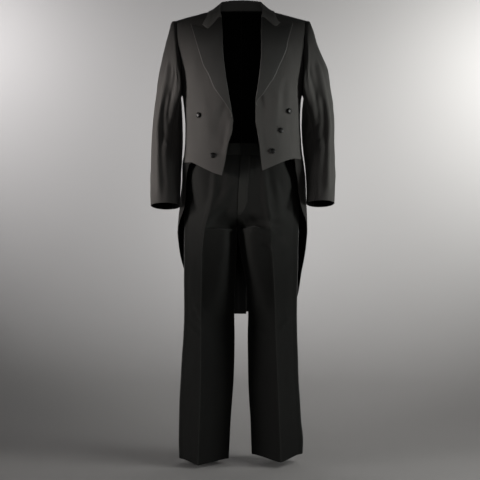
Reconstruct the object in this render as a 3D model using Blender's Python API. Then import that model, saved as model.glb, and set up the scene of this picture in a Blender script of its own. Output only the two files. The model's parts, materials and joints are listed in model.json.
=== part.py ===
"""An evening tailcoat with its trousers, hollow, as they hang on a standing figure.

Lengths in the tables are millimetres. The frame: +Z up, the front of the garment faces -Y, and the
origin is the middle of the neck's base. The wearer's left is +X. Every outline is worked out on a
half garment whose x counts outwards from the middle, and is then turned to its own side.
"""

import math

import bpy
import bmesh
import numpy as np

MM = 0.001

# Cloth and seams
CLOTH = 2.0  # wall of the coat and the trousers
FACING = 1.8  # wall of the lapels and the collar
BRAID = 1.0
SEAM_GAP = 0.3
LAY_GAP = 0.45  # between a panel and what lies on it

SIGN = {"right": -1.0, "left": 1.0}

# Shoulders and neck
SHOULDER_NECK_X = 80.0
SHOULDER_NECK_Z = -8.0
SHOULDER_SLOPE = 0.253
NECK_SLOPE = 0.45
FRONT_ROUND_Z = -160.0  # the chest starts to round into the shoulder here
BACK_ROUND_Z = -150.0
FRONT_ROUND_POWER = 2.0
BACK_ROUND_POWER = 1.6
SECTION_POWER = 2.4  # a round-cornered section between an ellipse and a box
LEVEL_STEP = 116.0  # millimetres of height for one unit of level below the rounding

# Half widths and depths of the coat, at heights below the neck
COAT_COLUMNS = ("z", "half_right", "half_left", "front", "skirt_front", "back")
COAT_ROWS = (
    (40, 236, 234, 110, 110, 112),
    (-50, 238, 236, 118, 118, 117),
    (-100, 235, 232, 123, 123, 120),
    (-165, 226, 228, 127, 127, 121),
    (-224, 215, 222, 129, 129, 118),
    (-300, 203.5, 209.5, 128, 128, 108),
    (-350, 197, 204, 126, 126, 99),
    (-400, 193.5, 202.5, 126, 126, 95),
    (-450, 194, 205, 129, 129, 97),
    (-500, 198, 209, 134, 132, 105),
    (-540, 203.5, 215.5, 138, 132, 117),
    (-600, 207.5, 220.5, 143, 118, 135),
    (-664, 212.5, 223.5, 145, 103, 147.5),
    (-730, 217, 226.5, 145, 92, 152.3),
    (-800, 219.5, 227.5, 145, 85, 151),
    (-900, 219.5, 227.5, 145, 85, 154),
    (-1080, 219.5, 227.5, 145, 85, 155),
)

# Front edge of the coat: tip, cutaway edge, roll line and neck
EDGE_COLUMNS = ("z_right", "x_right", "z_left", "x_left")
EDGE_ROWS = (
    (-8, 80, -8, 80),
    (-50, 69.5, -50, 69.5),
    (-100, 66.6, -100, 68.5),
    (-168, 63.9, -168, 69),
    (-234, 57, -234, 64.2),
    (-301, 47.3, -301, 55.2),
    (-367, 35, -352, 47),
    (-402, 28, -400, 46.9),
    (-434, 30, -434, 51.6),
    (-484, 44, -484, 59.5),
    (-547, 55.5, -540, 65.5),
    (-586, 65, -570, 70),
)

# Cutaway hem of the fronts, from the tip to the side
HEM_COLUMNS = ("x_right", "z_right", "x_left", "z_left")
HEM_ROWS = (
    (65, -586, 70, -570),
    (88, -579, 92, -560),
    (115, -566, 130, -543),
    (148, -549, 160, -531),
    (167, -539, 180, -526),
)
WAIST_SEAM_BACK_Z = -520.0

# Armhole, an oval seen from the side
ARMHOLE_TOP_Z = -44.8
ARMHOLE_LOW_Z = -301.0
ARMHOLE_FRONT = 60.0
ARMHOLE_BACK = 66.0
SIDE_SEAM_TURN = math.radians(35)  # where the side seam meets the armhole, from its lowest point
SABRE_TURN = math.radians(75)  # where the curved back seam meets it
SIDE_SEAM_WAIST = math.radians(74)
SHOULDER_OPEN = 0.2  # half the gap of the shoulder seam

# Curved back seam, then the pleat line of the tail
SABRE_COLUMNS = ("z", "x")
SABRE_ROWS = (
    (-232, 180),
    (-262, 147),
    (-305, 112),
    (-355, 82),
    (-405, 62),
    (-455, 52),
    (-500, 49),
    (-560, 49),
    (-800, 49),
    (-1080, 47),
)

# Front edge of the skirts, as an angle round the section
SKIRT_COLUMNS = ("z_right", "turn_right", "z_left", "turn_left")
SKIRT_ROWS = (
    (-539, 55.5, -526, 54),
    (-560, 59, -560, 54.5),
    (-580, 61.5, -580, 56),
    (-620, 63, -620, 59),
    (-664, 63, -660, 61.5),
    (-700, 66, -700, 66),
    (-740, 77, -740, 79),
    (-780, 90, -780, 90),
    (-835, 100, -835, 100),
    (-869, 107.3, -869, 106),
    (-904, 115, -904, 111.5),
    (-940, 122.5, -940, 115.2),
    (-1000, 133, -1000, 121.5),
    (-1035, 140, -1030, 129),
    (-1062, 149, -1054, 139),
)
TAIL_HEM = {"right": -1066.0, "left": -1058.0}
VENT_TOP_Z = -535.0
VENT_UNDERLAP = 18.0

# Lapels: outer edge from the break to the peak
LAPEL = {
    "right": (
        (33, -384), (50, -352), (80, -309), (92, -291), (112, -243), (127, -217), (136, -188), (152, -135),
        (171, -70),
    ),
    "left": (
        (50, -346), (74, -312), (98, -275), (105, -266), (133, -204), (144, -180), (151, -160), (155, -138),
        (175, -66),
    ),
}
LAPEL_BREAK_Z = {"right": -396.0, "left": -358.0}
LAPEL_NOTCH = {"right": (114.3, -96.0), "left": (117.7, -88.0)}
LAPEL_TOP_Z = -51.0
LAPEL_SPRING = 0.4  # how much further its outer edge stands off the chest
TURN_RADIUS = 3.25  # how far the cloth rolls out round the front edge
TURN_ROUND = math.radians(125)

# Collar: fold and outer edge, from the middle of the back (0) over the shoulder (0.5) to the gorge (1)
COLLAR_COLUMNS = ("way", "fold_x", "fold_y", "fold_z", "edge_x", "edge_z")
COLLAR_ROWS = (
    (0.00, 0, 43, 37.5, 0, -7),
    (0.14, 24, 41, 36.5, 32, -9),
    (0.28, 47, 32, 32.5, 66, -13),
    (0.40, 62, 17.5, 27, 93, -17.5),
    (0.50, 69.5, 2, 20.5, 110.5, -15.9),
    (0.62, 71.5, -20, 7, 112.5, -21),
    (0.74, 72, -42, -9, 114, -32),
    (0.86, 71.5, -63, -27, 118, -47),
    (0.95, 70.5, -78, -41, 126, -64),
)
GORGE_Z = -49.5
COLLAR_LOW = {"right": (111.6, -92.0), "left": (114.5, -82.5)}
COLLAR_END = {"right": (130.8, -76.8), "left": (131.5, -68.4)}
COLLAR_FOLD = 2.3  # radius of the fold's outer face
COLLAR_STEP_OFF = 2.7  # from the neckline to the face of the stand

# Sleeves: four lines of each sleeve, from the armhole (0) to the cuff (1)
SLEEVE_COLUMNS = (
    "way", "outer_right", "outer_left", "outer_z", "inner_right", "inner_left", "inner_z",
    "middle_y", "front_y", "front_z", "back_y", "back_z", "twist",
)
SLEEVE_ROWS = (
    (0.04, 237, 235, -46.5, 204.2, 210.2, -304, 0, -64, -176, 70, -176, -14),
    (0.08, 245, 241, -55, 204.6, 210.4, -307, 0, -68, -182, 74, -182, -26),
    (0.14, 257, 257, -90, 204.8, 210.2, -312, 0, -74, -197, 78, -197, -38),
    (0.20, 268, 268, -125, 204.8, 210, -317, 0, -77, -217, 79, -217, -40),
    (0.28, 278, 287, -170, 204.5, 209.5, -326, 0, -78, -246, 77, -246, -38),
    (0.36, 283.6, 303, -213, 203.8, 209, -340, 0, -76, -275, 73, -275, -27),
    (0.45, 289, 308, -268, 202.8, 208.4, -362, -1, -73, -314, 67, -314, -8),
    (0.55, 297.5, 315, -343, 201.6, 208.2, -395, -4, -70, -368, 59, -370, 9),
    (0.65, 304, 317, -420, 201, 209.6, -445, -10, -71, -431, 50, -434, 17),
    (0.75, 306.6, 317, -497, 203, 214.5, -508, -20, -77, -499, 38, -506, 18),
    (0.85, 308.5, 317, -570, 206.3, 219.6, -573, -35, -86, -566, 18, -576, 15),
    (0.93, 308.6, 316.5, -630, 207, 221.5, -630, -50, -96, -622, -5, -639, 13),
    (1.00, 306, 314, -687, 206.5, 220, -683, -66, -105, -675, -28, -696, 12),
)
LEFT_CUFF_RISE = 8.0
ARMHOLE_GAP = 0.6

# Trousers: outlines and creases of each leg
TROUSER_COLUMNS = (
    "z", "out_right", "out_left", "in_right", "in_left", "crease_right", "crease_left",
    "front", "belly", "back", "seat",
)
TROUSER_ROWS = (
    (-470, 160, 161, 14, -13.6, 84, 72, -89, -106, 70, 84),
    (-516, 172, 173, 14, -13.6, 86, 73, -95, -109, 79, 90),
    (-560, 184, 187, 14, -13.6, 88, 75, -101, -111, 92, 99),
    (-620, 190, 196, 14, -13.6, 91, 80, -109, -113, 116, 113),
    (-680, 195, 199, 14, -13.6, 99, 88, -114, -112, 133.4, 120),
    (-720, 197, 199, 14, -13.6, 109, 93, -116, -110, 137.4, 118),
    (-763, 197, 198, 14.2, -13.5, 121, 96, -117, -108, 131, 114),
    (-810, 197, 196, 15.2, -8.5, 127, 98, -115, -108, 123, 114),
    (-870, 197, 195, 17.3, 0.5, 131, 105.5, -111, -108, 112, 114),
    (-938, 197.3, 193.3, 20.7, 13.8, 133.4, 109.5, -106, -108, 101, 114),
    (-1052, 196.7, 191.1, 23.8, 22.8, 135.3, 113.5, -99, -108, 87, 114),
    (-1130, 199.5, 192.3, 22.6, 21.2, 135.6, 116, -95, -108, 80, 114),
    (-1200, 204.5, 194.8, 23.2, 21.9, 136.4, 119, -92, -108, 75, 114),
    (-1280, 209, 197, 25.8, 23, 137.6, 122.4, -89, -108, 71, 114),
    (-1352, 212.9, 201.8, 31, 26, 139, 125.5, -87, -108, 69, 114),
    (-1420, 214.6, 205.6, 36, 30.7, 141.2, 128.4, -86, -108, 68, 114),
    (-1490, 215.6, 212.6, 39.6, 33, 143.4, 131, -85, -108, 67, 114),
    (-1548, 214, 210, 42.5, 35, 145.2, 132.6, -85, -108, 66, 114),
)
CENTRE_COLUMNS = ("z", "x")  # the middle seam drifts to the wearer's right on its way down
CENTRE_ROWS = ((-470, 0), (-520, -2), (-583, -7), (-683, -12.5), (-763, -13.8))
WAIST_TOP_Z = -476.0
WAISTBAND_DEPTH = 40.0
CROTCH_Z = -763.0
CROTCH_Y = 15.0
FORK_FRONT = 64.0  # height of the front curve of the crotch seam
FORK_BACK = 92.0
HEM_SIDE = {"right": -1552.0, "left": -1537.0}
HEM_DIP = {"right": 6.0, "left": 11.0}  # the hem is longer at the pressed creases
CREASE_RISE = 3.6
CREASE_SOFT = 9.0
CREASE_START_Z = -560.0
CREASE_FULL_Z = -900.0
FRONT_FLAT, BACK_FLAT = 0.85, 0.5  # how flat the pressed halves of a leg are; 1 is a plane
SIDE_SOFT, INSEAM_SOFT = 0.22, 0.1  # share of a half, from its seam, that stays round
THIGH_FULL = 6.0  # power that makes the inner thigh full near the crotch; 1 leaves it flat
THIGH_LOW_Z = -1100.0
OUTSEAM_Y = 4.0
BRAID_WIDTH = 19.0
FLY_WIDTH = 32.0
FLY_LOW_Z = -716.0
WAISTBAND_LIFT = 0.5

# Buttons: where each one is fastened, as x and z
BUTTON_ACROSS = 18.5
BUTTON_HEIGHT = 5.4
FRONT_BUTTONS = {
    "front_button_right_top": ("right", 143.7, -381.3),
    "front_button_right_low": ("right", 94.9, -519.0),
    "front_button_left_top": ("left", 159.6, -366.7),
    "front_button_left_mid": ("left", 131.7, -433.7),
    "front_button_left_low": ("left", 103.8, -504.4),
}
NECK_COLUMNS = ("x", "z")  # back neckline, from the middle to the shoulder seam
NECK_ROWS = ((0, 0.0), (30, -2.5), (55, -5.5), (70, -7.5), (80, -8.0))
BACK_BUTTON_X = 49.0
BACK_BUTTON_Z = -508.0
BACK_BUTTON_LIFT = 0.9  # the hollow of the back waist stands proud of its own curve between rows

# Largest folds: start and end as x and z, height and half width of the ridge; a trough is below zero
FOLD_COLUMNS = ("x0", "z0", "x1", "z1", "height", "spread")
TROUSER_FOLDS = {
    "right": (
        (150, -545, 140, -700, 5, 24),
        (40, -640, 128, -760, 4.5, 16),
        (30, -700, 95, -745, -4, 12),
        (118, -1055, 160, -1040, 3, 9),
        (150, -1130, 178, -1100, 3, 12),
    ),
    "left": (
        (88, -560, 80, -720, 6, 15),
        (112, -660, 132, -735, 4, 12),
        (10, -780, 145, -838, 5.5, 13),
        (60, -765, 160, -800, -4.5, 12),
        (128, -1100, 165, -1065, 3, 10),
    ),
}
SLEEVE_FOLDS = {  # the same columns, with the way for x and the turn, in 250ths of a degree, for z
    "right": (
        (0.14, 0.03, 0.42, 0.40, 6, 0.08),
        (0.30, -0.16, 0.52, 0.12, -4, 0.08),
        (0.50, 0.24, 0.62, 0.48, -4, 0.06),
    ),
    "left": (
        (0.06, 0.08, 0.40, 0.33, 6, 0.08),
        (0.10, 0.19, 0.44, 0.44, -5, 0.07),
        (0.50, 0.12, 0.60, 0.32, 4, 0.06),
    ),
}

WOOL = (0.020, 0.020, 0.019, 1.0)
SILK = (0.010, 0.010, 0.010, 1.0)


def monotone(xs, ys, at):
    """A smooth curve through the points that never overshoots them, straight past its ends."""
    xs, ys, at = (np.asarray(a, float) for a in (xs, ys, at))
    order = np.argsort(xs)
    xs, ys = xs[order], ys[order]
    step = np.diff(xs)
    slope = np.diff(ys) / step
    lean = np.zeros(len(xs))
    same = slope[:-1] * slope[1:] > 0
    total = np.where(same, slope[:-1] + slope[1:], 1.0)
    lean[1:-1] = np.where(same, 2 * slope[:-1] * slope[1:] / total, 0.0)
    lean[0], lean[-1] = slope[0], slope[-1]
    i = np.clip(np.searchsorted(xs, at) - 1, 0, len(xs) - 2)
    t = (at - xs[i]) / step[i]
    c = np.clip(t, 0, 1)
    curve = (
        (2 * c**3 - 3 * c**2 + 1) * ys[i]
        + (c**3 - 2 * c**2 + c) * step[i] * lean[i]
        + (3 * c**2 - 2 * c**3) * ys[i + 1]
        + (c**3 - c**2) * step[i] * lean[i + 1]
    )
    past = np.where(t > 1, (t - 1) * step[i] * lean[i + 1], np.where(t < 0, t * step[i] * lean[i], 0.0))
    return curve + past


class Table:
    """Rows of numbers with named columns, read as smooth curves."""

    def __init__(self, columns, rows):
        self.column = {name: np.array([row[k] for row in rows], float) for k, name in enumerate(columns)}

    def read(self, name, along, at):
        return monotone(self.column[along], self.column[name], at)


COAT = Table(COAT_COLUMNS, COAT_ROWS)
EDGE = Table(EDGE_COLUMNS, EDGE_ROWS)
NECK = Table(NECK_COLUMNS, NECK_ROWS)
COLLAR = Table(COLLAR_COLUMNS, COLLAR_ROWS)
FRONT_HEM = Table(HEM_COLUMNS, HEM_ROWS)
SABRE = Table(SABRE_COLUMNS, SABRE_ROWS)
SKIRT = Table(SKIRT_COLUMNS, SKIRT_ROWS)
SLEEVE = Table(SLEEVE_COLUMNS, SLEEVE_ROWS)
TROUSER = Table(TROUSER_COLUMNS, TROUSER_ROWS)
CENTRE = Table(CENTRE_COLUMNS, CENTRE_ROWS)


def ease(t):
    t = np.clip(t, 0, 1)
    return t * t * (3 - 2 * t)


def power(base, exponent):
    return np.sign(base) * np.abs(base) ** exponent


def stack(*columns):
    return np.stack(np.broadcast_arrays(*columns), axis=-1)


def unit(vectors):
    return vectors / np.maximum(np.linalg.norm(vectors, axis=-1, keepdims=True), 1e-9)


def polyline(points, at):
    """Points at shares 0 to 1 of a polyline's length."""
    points = np.asarray(points, float)
    reach = np.concatenate([[0], np.cumsum(np.linalg.norm(np.diff(points, axis=0), axis=1))])
    at = np.asarray(at, float) * reach[-1]
    return stack(*(np.interp(at, reach, points[:, k]) for k in range(points.shape[1])))


def patch(low, high, first, last):
    """Points filled in between four border curves that share their corners (a Coons patch).

    low and high run across, as arrays of n points; first and last run up, as arrays of m points.
    """
    n, m = len(low), len(first)
    u = np.linspace(0, 1, n)[None, :, None]
    v = np.linspace(0, 1, m)[:, None, None]
    # Shares follow the borders' own spacing, so rows that crowd at an edge stay crowded inside.
    across = (1 - v) * low[None] + v * high[None]
    upward = (1 - u) * first[:, None] + u * last[:, None]
    corners = (1 - v) * ((1 - u) * low[0] + u * low[-1]) + v * ((1 - u) * high[0] + u * high[-1])
    return across + upward - corners


# The coat's form: a round-cornered section at each height, rounded over into the shoulder line


def shoulder_line(x):
    x = np.abs(x)
    inside = SHOULDER_NECK_Z + NECK_SLOPE * (SHOULDER_NECK_X - x)
    outside = SHOULDER_NECK_Z - SHOULDER_SLOPE * (x - SHOULDER_NECK_X)
    return np.where(x < SHOULDER_NECK_X, inside, outside)


def half_width(side, z):
    return COAT.read("half_" + side, "z", z)


def turn_of(side, x, z):
    """The angle round the front half of the section at which its x is reached."""
    share = np.clip(np.asarray(x, float) / half_width(side, z), -1, 1)
    return np.arcsin(power(share, SECTION_POWER / 2))


def level_of(x, z, behind):
    """Height as a level: 0 where the rounding starts, 1 on the shoulder line."""
    start = BACK_ROUND_Z if behind else FRONT_ROUND_Z
    exponent = BACK_ROUND_POWER if behind else FRONT_ROUND_POWER
    share = np.clip((z - start) / (shoulder_line(x) - start), 0, 1)
    above = np.arcsin(share ** (exponent / 2)) * 2 / math.pi
    return np.where(z <= start, (z - start) / LEVEL_STEP, above)


def coat_form(side, turn, level, behind, depth_name=None):
    """Points of the coat's outer face. turn 0 is the front middle, a quarter turn the side."""
    start = BACK_ROUND_Z if behind else FRONT_ROUND_Z
    exponent = BACK_ROUND_POWER if behind else FRONT_ROUND_POWER
    turn, level = np.broadcast_arrays(np.asarray(turn, float), np.asarray(level, float))
    angle = np.maximum(level, 0) * math.pi / 2
    rise = power(np.sin(angle), 2 / exponent)
    round_off = np.where(level > 0, power(np.cos(angle), 2 / exponent), 1.0)
    z = np.full(turn.shape, start, float)
    for _ in range(12):
        x = half_width(side, z) * power(np.sin(turn), 2 / SECTION_POWER)
        z = np.where(level > 0, start + (shoulder_line(x) - start) * rise, start + level * LEVEL_STEP)
    ahead = np.cos(turn) > 0
    name = depth_name or "front"
    depth = np.where(ahead, COAT.read(name, "z", z), COAT.read("back", "z", z))
    y = -depth * power(np.cos(turn), 2 / SECTION_POWER) * round_off
    if behind:
        y = np.where(ahead, y, np.abs(y) * np.sign(round_off))
    opening = SHOULDER_OPEN * ease((z + 250) / 120)
    y = y + np.where(behind, opening, -opening)
    return stack(x, y, z)


def face(point_of, a, b, da=0.004, db=0.01):
    """Points and outward normals of a form at two coordinates."""
    along = point_of(a + da, b) - point_of(a - da, b)
    up = point_of(a, b + db) - point_of(a, b - db)
    return point_of(a, b), unit(np.cross(along, up))


def armhole(side, turn, behind):
    """Points of the armhole. turn 0 is its lowest point and half a turn its highest."""
    turn = np.atleast_1d(np.asarray(turn, float))
    middle = (ARMHOLE_TOP_Z + ARMHOLE_LOW_Z) / 2
    z = middle - (ARMHOLE_TOP_Z - ARMHOLE_LOW_Z) / 2 * np.cos(turn)
    y = (ARMHOLE_BACK if behind else ARMHOLE_FRONT) * np.sin(turn)
    start = BACK_ROUND_Z if behind else FRONT_ROUND_Z
    exponent = BACK_ROUND_POWER if behind else FRONT_ROUND_POWER
    depth = COAT.read("back" if behind else "front", "z", z)
    w = half_width(side, z)
    low, high = np.zeros_like(z), w.copy()
    on_line = SHOULDER_NECK_X + (SHOULDER_NECK_Z - z) / SHOULDER_SLOPE
    high = np.minimum(high, on_line)
    for _ in range(40):
        x = (low + high) / 2
        section = np.maximum(1 - (x / w) ** SECTION_POWER, 0) ** (1 / SECTION_POWER)
        share = np.clip((z - start) / (shoulder_line(x) - start), 0, 1)
        reach = depth * section * np.maximum(1 - share**exponent, 0) ** (1 / exponent)
        inside = reach > y
        low, high = np.where(inside, x, low), np.where(inside, high, x)
    return stack(x, y if behind else -y, z)


def to_form(side, x, z, behind):
    """Turn and level of points given by x and z."""
    turn = turn_of(side, x, z)
    if behind:
        turn = math.pi - turn
    return stack(turn, level_of(x, z, behind))


def edge_x(side, z):
    return EDGE.read("x_" + side, "z_" + side, z)


def skirt_turn(side, z):
    return np.radians(SKIRT.read("turn_" + side, "z_" + side, z))


def tip_z(side):
    return float(EDGE.column["z_" + side].min())


def hem_corner(side):
    """The side end of the cutaway hem, where the skirt starts, as x and z."""
    return float(FRONT_HEM.column["x_" + side][-1]), float(FRONT_HEM.column["z_" + side][-1])


def waist_seam_z(side, turn):
    """Height of the waist seam from the skirt's front edge round to the pleat."""
    x, z = hem_corner(side)
    start = turn_of(side, x, z)
    return z + (WAIST_SEAM_BACK_Z - z) * ease((turn - start) / (math.pi - 0.3 - start))


def side_seam(side, share):
    """Turn and level of the side seam, from the waist (0) to the armhole (1)."""
    top = armhole(side, SIDE_SEAM_TURN, False)[0]
    end = to_form(side, top[0], top[2], False)
    low_z = waist_seam_z(side, SIDE_SEAM_WAIST)
    start = np.array([SIDE_SEAM_WAIST, float(level_of(190.0, low_z, False))])
    share = np.asarray(share, float)[:, None]
    bow = np.stack([0.03 * np.sin(math.pi * share[:, 0]), 0 * share[:, 0]], axis=1)
    return start + (end - start) * share + bow


def sabre_seam(side, share):
    """Turn and level of the curved back seam, from the waist (0) to the armhole (1)."""
    top = armhole(side, SABRE_TURN, True)[0]
    z = WAIST_SEAM_BACK_Z + (top[2] - WAIST_SEAM_BACK_Z) * np.asarray(share, float)
    xs = np.append(SABRE.column["x"], top[0])
    zs = np.append(SABRE.column["z"], top[2])
    return to_form(side, monotone(zs, xs, z), z, True)


HEM_CELLS = 6
SEAM_CELLS = 3  # of the front, on the waist seam
SIDE_CELLS = 5
WAIST_CELLS = 10
CHEST_CELLS = 9
BLADE_CELLS = 8
TAIL_CELLS = 13


def front_grid(side):
    """Turn and level over one front, with the row that both patches share counted once."""
    columns = HEM_CELLS + SEAM_CELLS
    u = np.linspace(0, 1, columns + 1)
    junction = side_seam(side, [1.0])[0]
    junction_z = FRONT_ROUND_Z + junction[1] * LEVEL_STEP
    tip = tip_z(side)
    corner_x, corner_z = hem_corner(side)
    # The hem: the cutaway edge, then the waist seam as far as the side seam.
    hem_x = FRONT_HEM.column["x_" + side]
    cut = stack(hem_x, FRONT_HEM.read("z_" + side, "x_" + side, hem_x))
    cut = polyline(cut, np.linspace(0, 1, HEM_CELLS + 1))
    turns = np.linspace(float(turn_of(side, corner_x, corner_z)), SIDE_SEAM_WAIST, SEAM_CELLS + 1)
    low = np.concatenate([
        to_form(side, cut[:, 0], cut[:, 1], False),
        stack(turns, level_of(190.0, waist_seam_z(side, turns), False))[1:],
    ])
    v = np.linspace(0, 1, WAIST_CELLS + 1)
    edge_z = tip + (junction_z - tip) * v
    first = to_form(side, edge_x(side, edge_z), edge_z, False)
    last = side_seam(side, v)
    last[0] = low[-1]
    high = first[-1] + (last[-1] - first[-1]) * u[:, None]
    lower = patch(low, high, first, last)
    # The upper patch runs to the shoulder seam.
    w = np.linspace(0, 1, CHEST_CELLS + 1)
    arm = armhole(side, SIDE_SEAM_TURN + (math.pi - SIDE_SEAM_TURN) * w, False)
    last = to_form(side, arm[:, 0], arm[:, 2], False)
    last[-1, 1] = 1.0
    levels = junction[1] + (1 - junction[1]) * w
    edge = []
    for level in levels:
        z = FRONT_ROUND_Z + min(level, 0) * LEVEL_STEP
        for _ in range(12):
            x = float(edge_x(side, z))
            if level > 0:
                z = FRONT_ROUND_Z + (float(shoulder_line(x)) - FRONT_ROUND_Z) * math.sin(level * math.pi / 2)
        edge.append((float(turn_of(side, x, z)), level))
    first = np.array(edge)
    low2 = lower[-1]
    high2 = stack(np.linspace(first[-1, 0], last[-1, 0], columns + 1), np.ones(columns + 1))
    upper = patch(low2, high2, first, last)
    return np.concatenate([lower, upper[1:]])


def side_grid(side):
    columns = SIDE_CELLS
    v = np.linspace(0, 1, WAIST_CELLS + 1)
    first = side_seam(side, v)
    last = sabre_seam(side, v)
    turns = np.linspace(first[0, 0], last[0, 0], columns + 1)
    low = stack(turns, level_of(0.0, waist_seam_z(side, turns), False))
    first[:, 1] = first[:, 1] * LEVEL_STEP + FRONT_ROUND_Z
    last[:, 1] = last[:, 1] * LEVEL_STEP + BACK_ROUND_Z
    low[:, 1] = low[:, 1] * LEVEL_STEP + FRONT_ROUND_Z
    low[0], low[-1] = first[0], last[0]
    sweep = np.linspace(-SIDE_SEAM_TURN, SABRE_TURN, columns + 1)
    ahead = armhole(side, np.abs(sweep), False)
    hind = armhole(side, np.abs(sweep), True)
    high = np.empty((columns + 1, 2))
    for k, s in enumerate(sweep):
        p = hind[k] if s > 0 else ahead[k]
        turn = float(turn_of(side, p[0], p[2]))
        high[k] = (math.pi - turn if s > 0 else turn, p[2])
    high[0], high[-1] = first[-1], last[-1]
    return patch(low, high, first, last)


def side_form(side):
    """The form as turn and height, for panels that lie wholly below the rounding."""

    def point(turn, z):
        turn, z = np.broadcast_arrays(turn, z)
        ahead = coat_form(side, turn, (z - FRONT_ROUND_Z) / LEVEL_STEP, False)
        hind = coat_form(side, turn, (z - BACK_ROUND_Z) / LEVEL_STEP, True)
        return np.where((turn < math.pi / 2)[..., None], ahead, hind)

    return point


def skirt_form(side):
    def point(turn, z):
        turn, z = np.broadcast_arrays(turn, z)
        ahead = coat_form(side, turn, (z - FRONT_ROUND_Z) / LEVEL_STEP, False, "skirt_front")
        hind = coat_form(side, turn, (z - BACK_ROUND_Z) / LEVEL_STEP, True, "skirt_front")
        return np.where((turn < math.pi / 2)[..., None], ahead, hind)

    return point


def front_form(side):
    return lambda turn, level: coat_form(side, turn, level, False)


def back_form(side):
    return lambda turn, level: coat_form(side, turn, level, True)


def back_level(z):
    return (np.asarray(z, float) - BACK_ROUND_Z) / LEVEL_STEP


def back_grid(side, columns=6):
    """Turn and level over one back: the tail strip, the waist and the shoulder."""
    u = np.linspace(0, 1, columns + 1)
    top = armhole(side, SABRE_TURN, True)[0]
    # The tail, from its hem to the waist seam
    z = np.linspace(TAIL_HEM[side], WAIST_SEAM_BACK_Z, TAIL_CELLS + 1)
    outer = to_form(side, SABRE.read("x", "z", z), z, True)
    inner = stack(np.full(len(z), math.pi), back_level(z))
    if side == "right":
        lap = VENT_UNDERLAP * ease((VENT_TOP_Z - 30 - z) / 30)
        inner[:, 0] = math.pi + turn_of(side, lap, z)
    low = inner[0] + (outer[0] - inner[0]) * u[:, None]
    high = inner[-1] + (outer[-1] - inner[-1]) * u[:, None]
    tail = patch(low, high, inner, outer)
    # The waist, up to where the curved seam meets the armhole
    v = np.linspace(0, 1, WAIST_CELLS + 1)
    outer = sabre_seam(side, v)
    levels = np.linspace(back_level(WAIST_SEAM_BACK_Z), back_level(top[2]), len(v))
    inner = stack(np.full(len(v), math.pi), levels)
    low = high
    high = inner[-1] + (outer[-1] - inner[-1]) * u[:, None]
    waist = patch(low, high, inner, outer)
    # The shoulder, up to the neck and the shoulder seam
    w = np.linspace(0, 1, BLADE_CELLS + 1)
    arm = armhole(side, SABRE_TURN + (math.pi - SABRE_TURN) * w, True)
    outer = to_form(side, arm[:, 0], arm[:, 2], True)
    outer[-1, 1] = 1.0
    neck = neckline(side, 3)
    seam_turns = np.linspace(neck[-1, 0], outer[-1, 0], columns + 1 - 3)
    high2 = np.concatenate([neck, stack(seam_turns, np.ones(len(seam_turns)))[1:]])
    inner = stack(np.full(len(w), math.pi), np.linspace(high[0, 1], neck[0, 1], len(w)))
    shoulder = patch(high, high2, inner, outer)
    return np.concatenate([tail, waist[1:], shoulder[1:]])


def neckline(side, cells):
    """Turn and level along the back neckline, from the middle to the shoulder seam."""
    x = np.linspace(0, SHOULDER_NECK_X, cells + 1)
    z = NECK.read("z", "x", x)
    points = to_form(side, x, z, True)
    points[0, 0] = math.pi
    points[-1, 1] = 1.0
    return points


def skirt_grid(side):
    """Turn and height over one skirt. Its top row has the stations of the panels above it."""
    columns = SEAM_CELLS + SIDE_CELLS
    u = np.linspace(0, 1, columns + 1)
    hem = TAIL_HEM[side]
    z = np.linspace(hem, WAIST_SEAM_BACK_Z, TAIL_CELLS + 1)
    back = stack(math.pi - turn_of(side, SABRE.read("x", "z", z), z), z)
    corner_x, corner_z = hem_corner(side)
    low_z = float(SKIRT.column["z_" + side].min())
    front_z = np.linspace(low_z, corner_z, TAIL_CELLS + 1)
    front = stack(skirt_turn(side, front_z), front_z)
    front[-1, 0] = turn_of(side, corner_x, corner_z)
    ahead = np.linspace(front[-1, 0], SIDE_SEAM_WAIST, SEAM_CELLS + 1)
    turns = np.concatenate([ahead, np.linspace(SIDE_SEAM_WAIST, back[-1, 0], SIDE_CELLS + 1)[1:]])
    high = stack(turns, waist_seam_z(side, turns))
    high[0], high[-1] = front[-1], back[-1]
    low_turns = np.linspace(front[0, 0], back[0, 0], columns + 1)
    low = stack(low_turns, low_z + (hem - low_z) * ease(u * 2.5))
    low[0], low[-1] = front[0], back[0]
    return patch(low, high, front, back)


# The sleeves


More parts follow.
